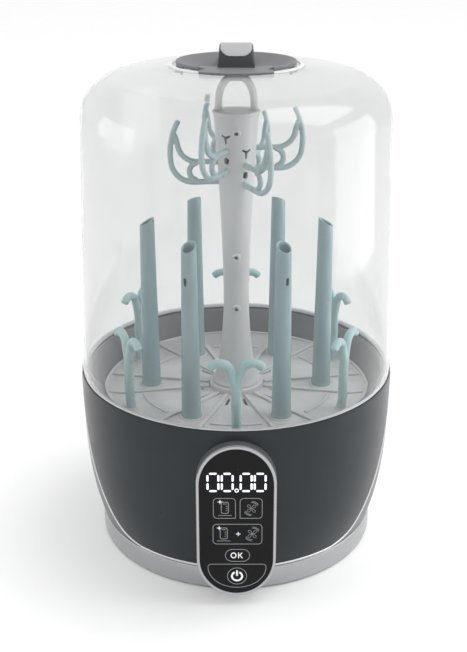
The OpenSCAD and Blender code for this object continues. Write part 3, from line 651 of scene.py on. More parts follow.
ring_profile = fillet([
    (FOOT_R - 4, 1.2, 0.4), (FOOT_R, 1.2, 1.6), (FOOT_R, FOOT_TOP, 0.8),
    (FOOT_R - 7, FOOT_TOP, 0.3), (FOOT_R - 7, FOOT_TOP - 3, 0), (FOOT_R - 4, FOOT_TOP - 6, 0)], 5)
dress(Piece(lathe(ring_profile, 256)).mesh("foot_band", [MATS["silver"]]), "base", ("foot_ring",))


# ---- Rear filter cover and cord gland ----

def cover_rows(inset, half=37.7, low=28.3, high=67.7, rows=24, cols=48):
    out = []
    for i in range(rows + 1):
        z = low + (high - low) * i / rows
        r = casing_r(z) - inset
        across = [half * (1 - 2 * j / cols) for j in range(cols + 1)]
        out.append([(x, sqrt(r * r - x ** 2), z) for x in across])
    return out


cover = Piece(slab(cover_rows(0), cover_rows(WALL))).mesh("filter_door", [MATS["shell_rear"]])
louvres = Piece()
for row in range(7):
    louvres.add(plate([round_rect(0, 35.9 + row * 4, 52, 1.8, 0.88)], 100, 160, place=to_back))
grip = Piece(plate([round_rect(0, 66.2, 16, 7, 3)], casing_r(66) - 0.9, 160, place=to_back))
soften(cover, 0.4)
louvres.cut_from(cover)
grip.cut_from(cover)
brackets = Piece(*[plate([round_rect(s * 31.5, FILTER_Z, 3, 10, 0.6)], 110, 127.0, 0.3, place=to_back)
                   for s in (-1, 1)])
brackets.cut_from(cover, "UNION")
dress(cover, "filter", ("filter_cover",))

gland = fillet([
    (CORD_R, -8, 0.3), (11, -8, 0.4), (11, -5, 0.2), (8.9, -5, 0), (8.9, 0.8, 0), (11.5, 0.8, 0.2),
    (11.5, 3.8, 0.9),
    (8, 3.8, 0.4), (7.5, 5.6, 0.2), (7.1, 5.6, 0.2), (7.0, 7.2, 0.2), (7.3, 7.2, 0.2), (6.9, 9.0, 0.2),
    (6.5, 9.0, 0.2), (6.4, 10.4, 0.2), (6.6, 10.4, 0.2), (6.0, 12.6, 0.5), (CORD_R, 12.6, 0.4)], 3)
dress(Piece(moved(lathe(gland, 72), gland_matrix())).mesh("cord_grommet", [MATS["rubber"]]), "base",
      ("cord_gland",))

# ---- Bowl ----

bowl = fillet([
    (RIM_R - WALL - 0.3, CHANNEL_Z, 0.3), (RIM_R - WALL - 0.3, CHANNEL_Z - BOWL_T, 0.3),
    (LIP_R + 1.4, CHANNEL_Z - BOWL_T, 1.5), (RACK_R + 2.9, BOWL_LEDGE - BOWL_T, 1.5),
    (BASIN_R + BOWL_T, BOWL_LEDGE - BOWL_T, 1.0), (BASIN_R + BOWL_T, BOWL_FLOOR + 6, 5),
    (BASIN_R - 4, BOWL_FLOOR - BOWL_T, 4), (PLATE_R - 1, BOWL_FLOOR - BOWL_T - 1.5, 0.2),
    (PLATE_R - 1, BOWL_FLOOR - 1.5, 0.4), (BASIN_R - 5, BOWL_FLOOR, 5), (BASIN_R, BOWL_FLOOR + 6.5, 5),
    (BASIN_R, BOWL_LEDGE, 0.8), (RACK_R + 0.6, BOWL_LEDGE, 0.3), (RACK_R + 0.9, RACK_Z, 0.6),
    (LIP_R, LIP_Z, 0.8), (LIP_R + LIP_T, LIP_Z, 0.8), (LIP_R + LIP_T, CHANNEL_Z, 0.5)], 4)
chimney = fillet([(CHIMNEY_R - 2, 99, 0), (CHIMNEY_R, 99, 0), (CHIMNEY_R, 123.6, 0.6),
                  (CHIMNEY_R - 2, 123.6, 0.6)], 3)
inner = Piece(lathe(bowl, 224), lathe(chimney, 64, centre=CHIMNEY)).mesh("inner_tub", [MATS["bowl_grey"]])
hole = lathe([(0.0, 90), (CHIMNEY_R - 2.05, 90), (CHIMNEY_R - 2.05, 112), (0.0, 112)], 48, False, CHIMNEY)
Piece(hole).cut_from(inner)
dress(inner, "base", ("inner_bowl",))

# ---- Control panel ----

def pod_outline(grow, step=3):
    half = POD_W / 2 + grow
    cap = half * 1.1
    mid = (POD_HIGH + POD_LOW) / 2
    reach = (POD_HIGH - POD_LOW) / 2 + grow - cap
    top = [(half * cos(radians(a)), mid + reach + cap * sin(radians(a))) for a in range(0, 181, step)]
    low = [(half * cos(radians(a)), mid - reach + cap * sin(radians(a))) for a in range(180, 361, step)]
    sides = 10
    left = [(-half, mid + reach - 2 * reach * k / sides) for k in range(1, sides)]
    right = [(half, mid - reach + 2 * reach * k / sides) for k in range(1, sides)]
    return top + left + low + right


def back_y(x, z):
    """Where the pod's side wall meets the casing or the foot band, a little inside it."""
    r = casing_r(z) if z > FOOT_TOP + 1 else FOOT_R
    return -sqrt(r * r - x * x) + 1.2


def pod_shell():
    """The side wall, from the casing forwards, rolled over its front edge and back inside."""
    front = -(POD_FACE - 1.7)
    rings = [[(x, back_y(x, z), z) for x, z in pod_outline(0)]]
    for grow, behind in ((0, 1.2), (-0.12, 0.45), (-0.45, 0.12), (-0.9, 0), (-4, 0)):
        rings.append([(x, front + behind, z) for x, z in pod_outline(grow)])
    rings.append([(x, back_y(x, z) + 0.2, z) for x, z in pod_outline(-4)])
    middle = [[(a[0] + (b[0] - a[0]) * t, a[1] + (b[1] - a[1]) * t, a[2] + (b[2] - a[2]) * t)
               for a, b in zip(rings[0], rings[1])] for t in (0.25, 0.5, 0.75)]
    return grid(rings[:1] + middle + rings[1:], wrap_rows=True, wrap_cols=True)


dress(Piece(pod_shell()).mesh("panel_pod", [MATS["silver"]]), "base", ("panel_housing",))
bezel = plate([pod_outline(-0.2), pod_outline(-BEZEL_W)], POD_FACE - 1.9, POD_FACE, 0.55, 4, to_front)
dress(Piece(bezel).mesh("panel_bezel", [MATS["silver"]]), "base", ())
glass = plate([pod_outline(-BEZEL_W - 0.12)], POD_FACE - 2, GLASS_Y, 0.35, 3, to_front)
dress(Piece(glass).mesh("panel_front", [MATS["panel_black"]]), "base", ("panel_glass",))


def band(points, t):
    """Outline of a line of width t along points, with round ends."""
    pts = [Vector(p) for p in points]
    left, right = [], []
    for i, p in enumerate(pts):
        a, b = pts[max(0, i - 1)], pts[min(len(pts) - 1, i + 1)]
        d = (b - a).normalized()
        n = Vector((-d.y, d.x)) * (t / 2)
        left.append(p + n)
        right.append(p - n)
    d = (pts[-1] - pts[-2]).normalized()
    tip = degrees(atan2(d.y, d.x))
    d = (pts[1] - pts[0]).normalized()
    tail = degrees(atan2(d.y, d.x))
    end = arc(pts[-1].x, pts[-1].y, t / 2, tip + 90, tip - 90, 8)
    start = arc(pts[0].x, pts[0].y, t / 2, tail - 90, tail - 270, 8)
    return [tuple(p) for p in left[:-1]] + end + [tuple(p) for p in reversed(right[1:-1])] + start


def ring_loops(cx, cy, outer, inner_r, n=48):
    return [ellipse(cx, cy, r, r, n) for r in (outer, inner_r)]


def framed(cx, cy, w, h, radii, line=0.42):
    small = tuple(max(0.1, r - line) for r in radii)
    return [round_rect(cx, cy, w, h, radii), round_rect(cx, cy, w - 2 * line, h - 2 * line, small)]


def printed(groups, bright=(), proud=0.22):
    """Thin raised print on the glass; the bright groups take the second material."""
    piece = Piece()
    for paint, part in ((0, groups), (1, bright)):
        for loops in part:
            piece.add(plate(loops, GLASS_Y - 0.05, GLASS_Y + proud, 0.06, 2, to_front), paint)
    return piece


def zero(x, z=121.0, w=10.6, h=17.9, t=1.75):
    half_w, half_h = (w - t) / 2, (h - t) / 2
    bars = []
    for s in (-1, 1):
        bars.append([band([(x - half_w + 2.2, z + s * half_h), (x + half_w - 2.2, z + s * half_h)], t)])
        bars.append([band([(x + s * half_w, z + 1.7), (x + s * half_w, z + half_h - 2.1)], t)])
        bars.append([band([(x + s * half_w, z - half_h + 2.1), (x + s * half_w, z - 1.7)], t)])
    return bars


digits = [bar for x in (-19, -7.4, 8, 19.4) for bar in zero(x)] + [ring_loops(0.3, 113.4, 1.8, 1.0)]
dress(printed(digits).mesh("lit_digits", [MATS["display_white"]]), "base", ("display_digits",))


def bottle_icon(x, z):
    """A feeding bottle in outline on a base line, with graduations."""
    groups = [framed(x, z + 0.4, 6.4, 11.2, (1.9,) * 4, 0.45),
              [band([(x - 5.4, z - 6.9), (x + 5.4, z - 6.9)], 0.35)],
              [band([(x - 1.6, z + 4.1), (x + 1.6, z + 4.1)], 0.4)]]
    return groups + [[band([(x + 0.9, z + h), (x + 2.0, z + h)], 0.4)] for h in (1.8, -0.2, -2.2)]


def sparkle(x, z, r):
    return [[(x + (r if k % 2 == 0 else 0.28 * r) * cos(radians(45 * k)),
              z + (r if k % 2 == 0 else 0.28 * r) * sin(radians(45 * k))) for k in range(8)]]


def fan_icon(x, z, r=4.8):
    """Four swept blades in outline between two puffs of air."""
    groups = [ring_loops(x, z, 0.9, 0.45, 24)]
    for k in range(4):
        a = 90 * k + 25
        edge = [(x + rr * cos(radians(a + t)), z + rr * sin(radians(a + t)))
                for rr, t in ((1.3, 0), (2.3, -8), (3.5, -4), (r, 14), (3.9, 36), (2.6, 40), (1.4, 38))]
        groups.append([band(edge, 0.3)])
    for first in (28, 208):
        groups += [[band(arc(x, z, r + 0.9, first, first + 64, 10), 0.35)],
                   [band(arc(x, z, r + 2.0, first + 6, first + 58, 10), 0.35)]]
    return groups


def plus(x, z, r=1.7, t=0.65):
    h = t / 2
    return [[(x + a, z + b) for a, b in (
        (h, h), (r, h), (r, -h), (h, -h), (h, -r), (-h, -r), (-h, -h), (-r, -h), (-r, h), (-h, h),
        (-h, r), (h, r))]]


def bowl_line(inset):
    """Outline of the lowest key: flat above, half an ellipse below."""
    half, top, corner = 24.6 - inset, 42.4 - inset, 3.0 - inset
    low = arc(0.6, 0, 1, 180, 360, 40)
    low = [(0.6 + (x - 0.6) * half, 39.4 + z * (20.6 - inset)) for x, z in low]
    return arc(0.6 + half - corner, top - corner, corner, 0, 90, 6) + arc(
        0.6 - half + corner, top - corner, corner, 90, 180, 6) + low


icons = [
    framed(-9.8, 96.5, 18.6, 19.4, (3.4, 3.4, 3.4, 0.5)),
    framed(12.2, 96.5, 18.6, 19.4, (3.4, 3.4, 0.5, 3.4)),
    framed(1, 71.7, 41, 19.6, (3.4,) * 4), framed(1, 50.9, 20.8, 12.2, (6.05,) * 4),
    *bottle_icon(-9.4, 96.6), *fan_icon(12.4, 96.4), *bottle_icon(-10.4, 72.0), *fan_icon(13.2, 71.9),
    ring_loops(0.6, 30.4, 8.3, 7.88, 72), [bowl_line(0.0), bowl_line(0.42)],
]
letter_o = [ellipse(-2.3, 50.9, a, b, 36) for a, b in ((2.5, 2.85), (1.6, 1.95))]
lit = [
    sparkle(-13.4, 102.6, 2.4), sparkle(-14.2, 77.6, 2.4), plus(1.6, 71.9, 1.9, 0.7),
    letter_o, [band([(1.9, 48.5), (1.9, 53.3)], 0.9)],
    [band([(2.7, 51.0), (4.7, 53.3)], 0.85)], [band([(3.0, 50.9), (4.9, 48.5)], 0.85)],
    [band(arc(0.6, 30.2, 4.3, 125, 415, 40), 1.7)], [band([(0.6, 31.2), (0.6, 35.4)], 1.6)],
]
dress(printed(icons, lit, 0.16).mesh("key_icons", [MATS["key_print"], MATS["lit_print"]]), "base",
      ("touch_keys",))

# ---- Rack ----

def rack():
    """The floor with its slots, ribs, rim, hub and sockets."""
    holes = []

    def slot(angle, near, far, w=2.6):
        loop = round_rect(0, -(near + far) / 2, w, far - near, w / 2 - 0.02, 5)
        turn = Matrix.Rotation(radians(angle), 2)
        return [tuple(turn @ Vector(p)) for p in loop]

    for a in POST_ANGLES:
        holes += [slot(a + s, 31, 44) for s in (-18, 18)]
    floor_edge = ellipse(0, 0, RACK_R, RACK_R, 256)
    piece = Piece(plate([floor_edge] + holes, RACK_Z - RACK_T, RACK_Z, 0.45, 3))
    rib_near, rib_far = 25.5, RACK_R - 4
    rib = plate([round_rect(0, -(rib_near + rib_far) / 2, 4.6, rib_far - rib_near, 1.5, 5)],
                RACK_Z - 0.6, RACK_Z + 2.2, 1.0, 4)
    for a in POST_ANGLES:
        for s in (-10.5, 10.5):
            piece.add(rib, turn=spin(a + s))
    for a in HOOK_ANGLES:
        outer = arc(0, 0, 87.4, a - 105, a - 75, 20)
        back = arc(0, 0, 84.0, a - 75, a - 105, 20)
        piece.add(plate([outer + back], RACK_Z - 0.6, RACK_Z + 1.4, 0.5, 3))
    rim = fillet([(RACK_R - 3.2, RACK_Z - 0.5, 0), (RACK_R - 0.2, RACK_Z - 0.5, 0),
                  (RACK_R - 0.2, RACK_Z + 1.6, 0.7),
                  (RACK_R - 3.2, RACK_Z + 1.6, 0.7)], 4)
    piece.add(lathe(rim, 256))
    hub = fillet([(10.6, RACK_Z - 0.5, 0), (25.2, RACK_Z - 0.5, 0), (24.4, RACK_Z + 5, 1.2),
                  (13, RACK_Z + 5, 1.2),
                  (13, RACK_Z + 26, 1.0), (10.6, RACK_Z + 26, 0.5)], 5)
    piece.add(lathe(hub, 96))
    for angles, pitch, bore, foot_r, top_r, high, segments in (
            (POST_ANGLES, POST_PITCH, 5.0, 11.2, 10.2, 1.2, 56),
            (HOOK_ANGLES, HOOK_PITCH, 2.0, 6.6, 5.8, 1.4, 40)):
        socket = fillet([(bore, RACK_Z - 0.5, 0), (foot_r, RACK_Z - 0.5, 0),
                         (top_r, RACK_Z + high, 0.6), (bore, RACK_Z + high, 0)], 4)
        for a in angles:
            piece.add(moved(lathe(socket, segments), shift(0, -pitch, 0)), turn=spin(a))
    return piece


dress(rack().mesh("rack_floor", [MATS["rack_grey"]]), "rack", ("rack_tray",))


def post():
    """A hollow tapered post, cut off obliquely so that its mouth faces outwards."""
    seg, wall, cut = 72, 1.6, tan(radians(29))

    def radius(z):
        return POST_R + (POST_TOP_R - POST_R) * (z - RACK_Z) / (POST_Z - RACK_Z)

    def mouth(y):
        return POST_Z + (y - POST_TOP_R) * cut

    rows = []
    for k in range(seg):
        t = 2 * pi * k / seg
        c, s = cos(t), sin(t)
        top = mouth(POST_TOP_R * s)
        row = [(5.9, RACK_Z - RACK_T), (POST_R + 0.5, RACK_Z + 0.2), (POST_R + 0.5, RACK_Z + 3.0),
               (POST_R + 0.1, RACK_Z + 3.5)]
        row += [(radius(z), z) for z in [RACK_Z + 6 + (top - 0.6 - RACK_Z - 6) * j / 14 for j in range(15)]]
        row += [(radius(top) - 0.16, top - 0.16), (radius(top) - 0.55, top + 0.02),
                (radius(top) - wall + 0.45, top - 0.18),
                (radius(top) - wall, top - 0.75)]
        row += [(radius(z) - wall,
                 z) for z in [top - 4 + (RACK_Z + 9 - top + 4) * j / 8 for j in range(9)]]
        row += [(0.0, RACK_Z + 8), (0.0, RACK_Z - RACK_T)]
        rows.append([(r * c, r * s, z) for r, z in row])
    return grid(rows, wrap_rows=True, wrap_cols=True)


base_post = Piece(post()).mesh("post_shape", [MATS["post_teal"]])
slit = plate([round_rect(0, POST_Z - 32.5, 2.8, 7, 1.3, 5)], 0, 20, place=to_front)
Piece(slit).cut_from(base_post)
base_post.data.transform(shift(0, -POST_PITCH * MM, 0))
for i, a in enumerate(POST_ANGLES):
    dress(copy_turned(base_post, f"post_{i + 1}", spin(a)), "rack", (f"bottle_post_{i + 1}",), sharp=40)
bpy.data.objects.remove(base_post)


def hook():
    """A stem that forks into two arms, each curled over and down."""
    lean, curl, bend_r, reach, arm_x, arm_r = 15, 38, 9.5, 13.0, 1.2, 3.7
    bend_z = HOOK_Z - arm_r - bend_r
    fork_z = bend_z - reach * cos(radians(lean)) + bend_r * sin(radians(lean))
    bend_x = arm_x + reach * sin(radians(lean)) + bend_r * cos(radians(lean))
    piece = Piece()
    stem = [(0, 0, RACK_Z - RACK_T), (0, 0, RACK_Z + 0.5), (0, 0, RACK_Z + 3), (0, 0, RACK_Z + 8),
            (0, 0, fork_z - 8), (0, 0, fork_z + 1)]
    piece.add(tube(stem, [3.0, 4.9, 4.6, 4.25, 4.2, 4.0], 32))
    for s in (-1, 1):
        path = [(0, 0, fork_z - 9), (s * 0.3, 0, fork_z - 5), (s * arm_x, 0, fork_z)]
        path += [(s * (arm_x + d * sin(radians(lean))), 0, fork_z + d * cos(radians(lean))) for d in (4,
                                                                                                      8)]
        path += [(s * (bend_x + x), 0, z) for x, z in arc(0, bend_z, bend_r, 180 - lean, curl, 16)]
        piece.add(tube(path, [3.4, 3.7, 3.8, 3.75] + [arm_r] * (len(path) - 4), 28, end=1.3))
    return piece


base_hook = fuse(hook().mesh("hook_shape", [MATS["hook_mint"]]), 0.55, 8)
base_hook.data.transform(shift(0, -HOOK_PITCH * MM, 0))
for i, a in enumerate(HOOK_ANGLES):
    dress(copy_turned(base_hook, f"double_hook_{i + 1}", spin(a)), "rack", (f"hook_{i + 1}",), sharp=80)
bpy.data.objects.remove(base_hook)

# ---- Accessory tree ----

def column_solid():
    low, high = RACK_Z + 5.3, COLUMN_TOP - 4
    steps = 56
    outer = [(column_r(low) + 0.4, low), (column_r(low) + 0.6, low + 0.8),
             (column_r(low + 2.2) + 0.5, low + 2.2)]
    outer += [(column_r(z),
               z) for z in [low + 3 + (high - low - 3) * k / steps for k in range(steps + 1)]]
    inner_wall = [(column_r(z) - COLUMN_WALL,
                   z) for z in [high - (high - low) * k / 20 for k in range(21)]]
    return lathe(outer + inner_wall, 128)


def y_mark(z):
    """Outline of the three-armed vent above each branch."""
    w, out = 0.85, []
    for a in (270, 30, 150):
        reach = 5.2 if a == 270 else 4.6
        d = Vector((cos(radians(a)), sin(radians(a))))
        n = Vector((-d.y, d.x))
        out += [d * reach - n * w, d * reach + n * w, d * 0.9 + n * w]
    return [[(p.x, z + p.y) for p in out]]


column = Piece(column_solid()).mesh("tree_column", [MATS["column_grey"]])
vents = Piece()
for a, top in BRANCHES:
    vents.add(plate(y_mark(top + 11.5), 10, 40, place=to_front), turn=spin(a))
    vents.add(plate([round_rect(0, top - ARM_DROP / 2, 4.6, 6.2, 2.2)], 10, 40, place=to_front),
              turn=spin(a))
vents.cut_from(column)
nozzles, holes = Piece(), Piece()
for z in NOZZLES:
    aim = shift(0, -column_r(z), z) @ Matrix.Rotation(pi / 2, 4, "X")
    boss = fillet([(0.0, -1.7, 0), (4.3, -1.7, 0), (3.7, 1.4, 0.6), (0.0, 1.4, 0)], 4)
    drill = [(0.0, -8), (1.6, -8), (1.6, 6), (0.0, 6)]
    nozzles.add(moved(lathe(boss, 48, closed=False), aim))
    holes.add(moved(lathe(drill, 32, closed=False), aim))
nozzles.cut_from(column, "UNION")
holes.cut_from(column)
dress(column, "tree", ("column",), sharp=42)


def loop_handle():
    collar_r = column_r(COLUMN_TOP - 4) + 1.0
    plug = collar_r - 3.55
    disc = fillet([(0.0, COLUMN_TOP - 10, 0), (plug, COLUMN_TOP - 10, 0.4), (plug, COLUMN_TOP - 4, 0),
                   (collar_r, COLUMN_TOP - 4, 0.6), (collar_r, COLUMN_TOP, 1.1), (0.0, COLUMN_TOP, 0)], 5)
    piece = Piece(lathe(disc, 128, closed=False))
    w, top = 14.8, LOOP_TOP - 2.2
    way = [(-w, 0, COLUMN_TOP - 2), (-w, 0, 399), (-w + 0.2, 0, 404), (-w + 1.7, 0, 409.5),
           (-w + 4.6, 0, 414.6),
           (-w + 8.6, 0, top - 0.4), (-w + 12, 0, top)]
    way += [(-x, 0, z) for x, _, z in reversed(way)]
    piece.add(tube(smooth_path(way, 7), 3.2, 28))
    for s in (-1, 1):
        foot = fillet([(0.0, COLUMN_TOP - 1, 0), (4.6, COLUMN_TOP - 1, 0), (3.3, COLUMN_TOP + 2.4, 1.5),
                       (0.0, COLUMN_TOP + 3, 0)], 5)
        piece.add(lathe(foot, 40, closed=False, centre=(s * w, 0)))
    return piece


cap = fuse(loop_handle().mesh("tree_loop", [MATS["column_grey"]]), 0.5, 4)
dress(cap, "tree", ("column_cap",), sharp=60)


def branch():
    """Two arms that leave the column one above the other and meet in one upright tip."""
    low_bend, tip_bend, turn = 19.0, 60.0, 8
    tip_r, tip_z = 37 + low_bend * cos(radians(turn)), 1 - low_bend * sin(radians(turn))
    lower = [(10.5, -ARM_DROP), (20, -ARM_DROP - 0.35), (30, -ARM_DROP - 0.8)]
    lower += arc(37, 1, low_bend, -90, -turn, 18)
    lower += arc(tip_r - tip_bend * cos(radians(turn)), tip_z + tip_bend * sin(radians(turn)), tip_bend,
                 -turn, 28, 16)[1:]
    upper = [(10.5, 0), (18, 0), (26, 0)] + arc(34, 16, 16, -90, -10, 14) + [(51.0, 18.6), (52.6, 23.4)]
    strut = arc(32.6, -8.8, 7.6, -82, 82, 14)
    rods = ((lower, [2.75, 2.6] + [ROD_R + 0.1] * (len(lower) - 12) + [ROD_R] * 10, 1.0),
            (upper, [2.75, 2.6] + [ROD_R] * (len(upper) - 2), None), (strut, ROD_R + 0.05, None))
    return Piece(*[tube([(0, -r, z) for r, z in path], radii, 24, end=tip) for path, radii, tip in rods])


base_branch = fuse(branch().mesh("branch_shape", [MATS["branch_teal"]]), 0.42, 7)
for i, (a, top) in enumerate(BRANCHES):
    arms = copy_turned(base_branch, f"tree_branch_{i + 1}", spin(a) @ shift(0, 0, top * MM))
    dress(arms, f"branch_{i + 1}", (f"branch_{i + 1}",), sharp=80)
bpy.data.objects.remove(base_branch)

# ---- Dome ----

def crown_z(r):
    return (SHOULDER_Z + SHOULDER_ROUND * sin(radians(CROWN))
            + (SHOULDER_R - SHOULDER_ROUND + SHOULDER_ROUND * cos(radians(CROWN)) - r) / tan(radians(CROWN)))


def dome():
    """The clear shell with a raised bead round the cap; also tells which faces take the pale edge finish that
    paints a highlight on the skirt, the seat and the bead round the cap.
    """
    centre = SHOULDER_R - SHOULDER_ROUND
    skirt = RIM_R - WALL - 0.6
    outer = fillet([(skirt - 1.2, SKIRT_Z, 0.3), (skirt, SKIRT_Z, 0.3), (skirt, SEAT_Z, 0.2),
                    (DOME_R, SEAT_Z, 0.5),
                    (SHOULDER_R, SHOULDER_Z, 0)], 4)[:-1]
    wall = [k / 20 for k in range(1, 20)] + [0.965, 0.98, 0.99, 0.996]
    near_arc = (101.9, 101.3, 100.2, 98.5)
    foot = outer[-1]
    outer += [(foot[0] + (SHOULDER_R - foot[0]) * t, foot[1] + (SHOULDER_Z - foot[1]) * t) for t in wall]
    outer += arc(centre, SHOULDER_Z, SHOULDER_ROUND, 0, CROWN, 48)
    outer += [(r, crown_z(r)) for r in near_arc + (95, 86, 77, 68, 61, BEAD_R)]
    outer += fillet([(56.2, crown_z(56.2), 0), (55.4, crown_z(55.4) + 0.9, 0.4),
                     (53.4, crown_z(53.4) + 0.9, 0.4),
                     (52.6, TAB_Z - 1.6, 0.2), (46.5, TAB_Z - 1.6, 0.5),
                     (46.5, crown_z(46.5) - 2.5, 0.35)], 4)
    back = [(r, crown_z(r) - DOME_WALL / sin(radians(CROWN)))
            for r in (50, 56, 64, 74, 84, 92) + tuple(r - 0.4 for r in reversed(near_arc))]
    back += list(reversed(arc(centre, SHOULDER_Z, SHOULDER_ROUND - DOME_WALL, 0, CROWN, 48)))
    back += [(SHOULDER_R - DOME_WALL + (DOME_R - SHOULDER_R) * (1 - t),
              SHOULDER_Z - (SHOULDER_Z - 166) * (1 - t))
             for t in reversed([0.0] + wall)]
    back += [(skirt - 1.2, 163.2)]
    points, faces = lathe(outer + back, 320)
    # Faces of the skirt, the seat and the bead round the cap take the pale finish, a painted highlight.
    highlight_faces = []
    for face in faces:
        r, z = (sum(hypot(points[i].x, points[i].y) for i in face) / 4,
                sum(points[i].z for i in face) / 4)
        highlight_faces.append(int(z < 163.1 or (r < 56.0 and z > crown_z(r) + 0.05)))
    for p in points:
        beyond = min(1.0, max(0.0, (hypot(p.x, p.y) - BEAD_R) / OVAL_SPAN))
        p.y *= OVAL + (1 - OVAL) * beyond if p.z > 400 else 1.0
    return points, faces, highlight_faces


points, faces, highlight_faces = dome()
clear = Piece((points, faces))
clear.paint = highlight_faces
shell = clear.mesh("clear_dome", [MATS["dome_clear"], MATS["dome_edge"]])
shell.visible_shadow = False
dress(shell, "dome", ("dome_shell",), sharp=50)


def dish():
    low = DISH_Z - 3.0
    profile = [(36.0, DISH_FLOOR - 0.7), (41.0, DISH_Z - 5.4), (44.4, DISH_Z - 3.9), (45.8, low)]
    profile += fillet([(45.8, low, 0), (49.6, low, 0.3), (DISH_R, DISH_Z - 1.6, 0.6),
                       (DISH_R - 0.4, DISH_Z, 0.7),
                       (48.0, DISH_Z - 0.1, 1.2), (45.8, DISH_Z - 1.2, 0)], 4)[1:-1]
    curve = smooth_path([(47.0, DISH_Z - 0.6, 0), (45.0, DISH_Z - 1.5, 0), (42.0, DISH_Z - 3.0, 0),
                         (37.5, DISH_Z - 5.0, 0),
                         (33.0, DISH_FLOOR + 1.3, 0), (28.5, DISH_FLOOR + 0.4, 0), (24.0, DISH_FLOOR, 0),
                         (12.0, DISH_FLOOR, 0)], 5)
    profile += [(p.x, p.y) for p in curve] + [(0.0, DISH_FLOOR), (0.0, DISH_FLOOR - 2),
                                              (30.0, DISH_FLOOR - 2)]
    points, faces = lathe(profile, 224)
    return [Vector((p.x, p.y * OVAL, p.z)) for p in points], faces


dish_obj = Piece(dish()).mesh("cap_bowl", [MATS["cap_grey"]])
notch = Piece(box(-30, 30, -60, -29, TAB_Z - 2.5, DISH_Z + 10))


def sector(radius, half, near, side):
    """Outline of the part of the oval within half of the middle and beyond near, on one side."""
    rim = [(x, side * OVAL * sqrt(radius ** 2 - x * x)) for x in [-half + 2 * half * k / 40 for k in range(41)]]
    return rim + [(half, side * near), (-half, side * near)]


tongue = [(x, 6 * (x / TONGUE_W) ** 2 + TONGUE_Y)
          for x in [-TONGUE_W + 2 * TONGUE_W * k / 40 for k in range(41)]]
tabs = Piece(plate([sector(36.0, 28.4, 15.9, -1)], DISH_FLOOR - 0.5, TAB_Z - 1.9, 0.1, 2),
             plate([sector(41.0, 29.4, 15.7, -1)], TAB_Z - 2.3, TAB_Z - 0.9, 0.1, 2),
             plate([tongue + [(TONGUE_W, -15.4), (-TONGUE_W, -15.4)]], TAB_Z - 1.4, TAB_Z, 0.4, 4),
             plate([sector(38.0, STRAP_W / 2 - 0.4, 15.7, 1)], DISH_FLOOR - 0.4, TAB_Z, 0.45, 4))
drains = Piece()
for x in (-6, 0, 6):
    drains.add(plate([round_rect(x, 0, 2, 18, 0.95)], DISH_FLOOR - 8, DISH_FLOOR + 8))
notch.cut_from(dish_obj)
drains.cut_from(dish_obj)
tabs.cut_from(dish_obj, "UNION", self_cross=True)
dress(dish_obj, "dome", ("cap_dish",), sharp=28)

RISE = STRAP_TOP - TAB_Z
STRAP_R = (STRAP_FOOT_Y ** 2 + RISE ** 2) / (2 * RISE)
STRAP_C = STRAP_TOP - STRAP_R


def along_strap(section, a):
    """A cross-section of (x, height over the strap's top) at an angle round the arch."""
    return [(x, (STRAP_R + w) * sin(a), STRAP_C + (STRAP_R + w) * cos(a)) for x, w in section]


def strap():
    rows = []
    limit = degrees(asin(STRAP_FOOT_Y / STRAP_R)) + 0.6
    for k in range(65):
        a = radians(-limit + 2 * limit * k / 64)
        half = STRAP_W / 2 - 1.4 * max(0, cos(a) - cos(radians(limit))) / (1 - cos(radians(limit)))
        section = fillet([(-half, -STRAP_T, 0.9), (half, -STRAP_T, 0.9), (half, 0, 1.5), (-half, 0, 1.5)],
                         5)
        rows.append(along_strap(section, a))
    return capped(rows)


dress(Piece(strap()).mesh("strap_arch", [MATS["strap_dark"]]), "dome", ("carry_strap",))


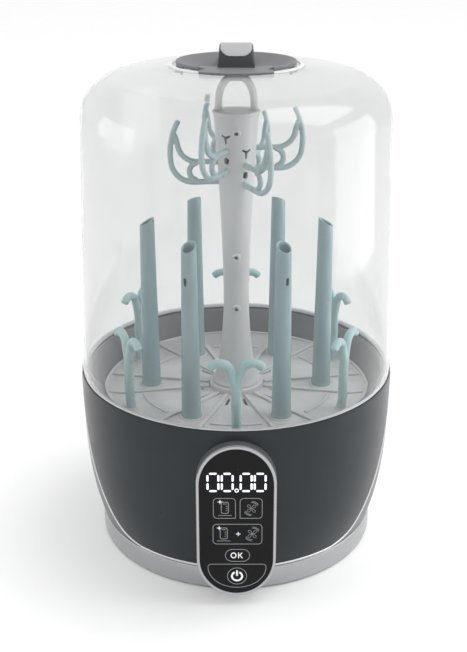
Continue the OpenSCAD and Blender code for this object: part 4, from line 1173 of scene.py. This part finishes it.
def inlay():
    half, reach, corner = 12.9, 17.8, 8.0
    rows = []
    for k in range(61):
        y = reach * sin(radians(-90 + 3 * k))
        over = max(0.0, abs(y) - (reach - corner))
        hw = half - corner + sqrt(max(0.0, corner * corner - over * over))
        a = asin(y / STRAP_R)
        section = [(-hw, -0.2), (-hw, 0.4), (-hw + 0.1 * min(1, hw), 0.6), (-hw + 0.3 * min(1, hw), 0.7)]
        across = (-0.8, -0.6, -0.4, -0.2, 0, 0.2, 0.4, 0.6, 0.8)
        section += [(hw * t, 0.7) for t in across if abs(hw * t) < hw - 0.4]
        section += [(-x, w) for x, w in reversed(section[:4])]
        while len(section) < 17:
            section.insert(len(section) // 2, section[len(section) // 2])
        rows.append(along_strap(section, a))
    return capped(rows)


dress(Piece(inlay()).mesh("strap_pad", [MATS["inlay_grey"]]), "dome", ("strap_inlay",), sharp=60)

# ---- CAD pieces that keep their shape ----

# The cap's clips take the dome's pale edge finish, the painted highlight material, so they hardly show through
# the dome.
for name, obj in frame["nodes"].items():
    slot = SLOTS.get(name)
    if slot in MATS:
        for entry in obj.material_slots:
            entry.material = MATS["dome_edge" if name == "cap_clips" else slot]

# ---- Floor, light and camera ----

def flat_object(name, size):
    mesh = bpy.data.meshes.new(name)
    corners = [(-size, -size, 0), (size, -size, 0), (size, size, 0), (-size, size, 0)]
    mesh.from_pydata(corners, [], [(0, 1, 2, 3)])
    return linked(name, mesh)


floor = flat_object("floor", 14)
floor.data.materials.append(material("pale_floor", (0.95, 0.95, 0.95), 0.65, grain=200, bump=0.005,
                                     spread=0.01, wear=0))

world = bpy.data.worlds.new("studio")
bpy.context.scene.world = world
world.use_nodes = True
sky = world.node_tree.nodes["Background"]
sky.inputs["Color"].default_value = (1.0, 1.0, 1.0, 1)
sky.inputs["Strength"].default_value = 1.0


def softbox(name, place, aim, width, height, power):
    data = bpy.data.lights.new(name, "AREA")
    data.shape = "RECTANGLE"
    data.size, data.size_y = width, height
    data.energy = power
    obj = linked(name, data)
    obj.location = place
    obj.rotation_euler = (Vector(aim) - Vector(place)).to_track_quat("-Z", "Y").to_euler()


softbox("key_right", (0.62, -0.02, 0.36), (0, 0, 0.34), 0.46, 0.5, 1.15)
softbox("fill_left", (-0.62, -0.02, 0.42), (0, 0, 0.38), 0.4, 0.3, 0.42)
softbox("high_right", (1.3, 0.1, 2.4), (0, 0, 0.2), 1.9, 1.9, 20)

camera = bpy.data.cameras.new("camera")
camera.lens = 65.6
camera.shift_x = -0.0043
eye = linked("camera", camera)
eye.location = (0, -0.9898, 0.6143)
eye.rotation_euler = (pi / 2 - CAMERA_TILT, 0, 0)
bpy.context.scene.camera = eye
bpy.context.scene.view_settings.view_transform = "Standard"
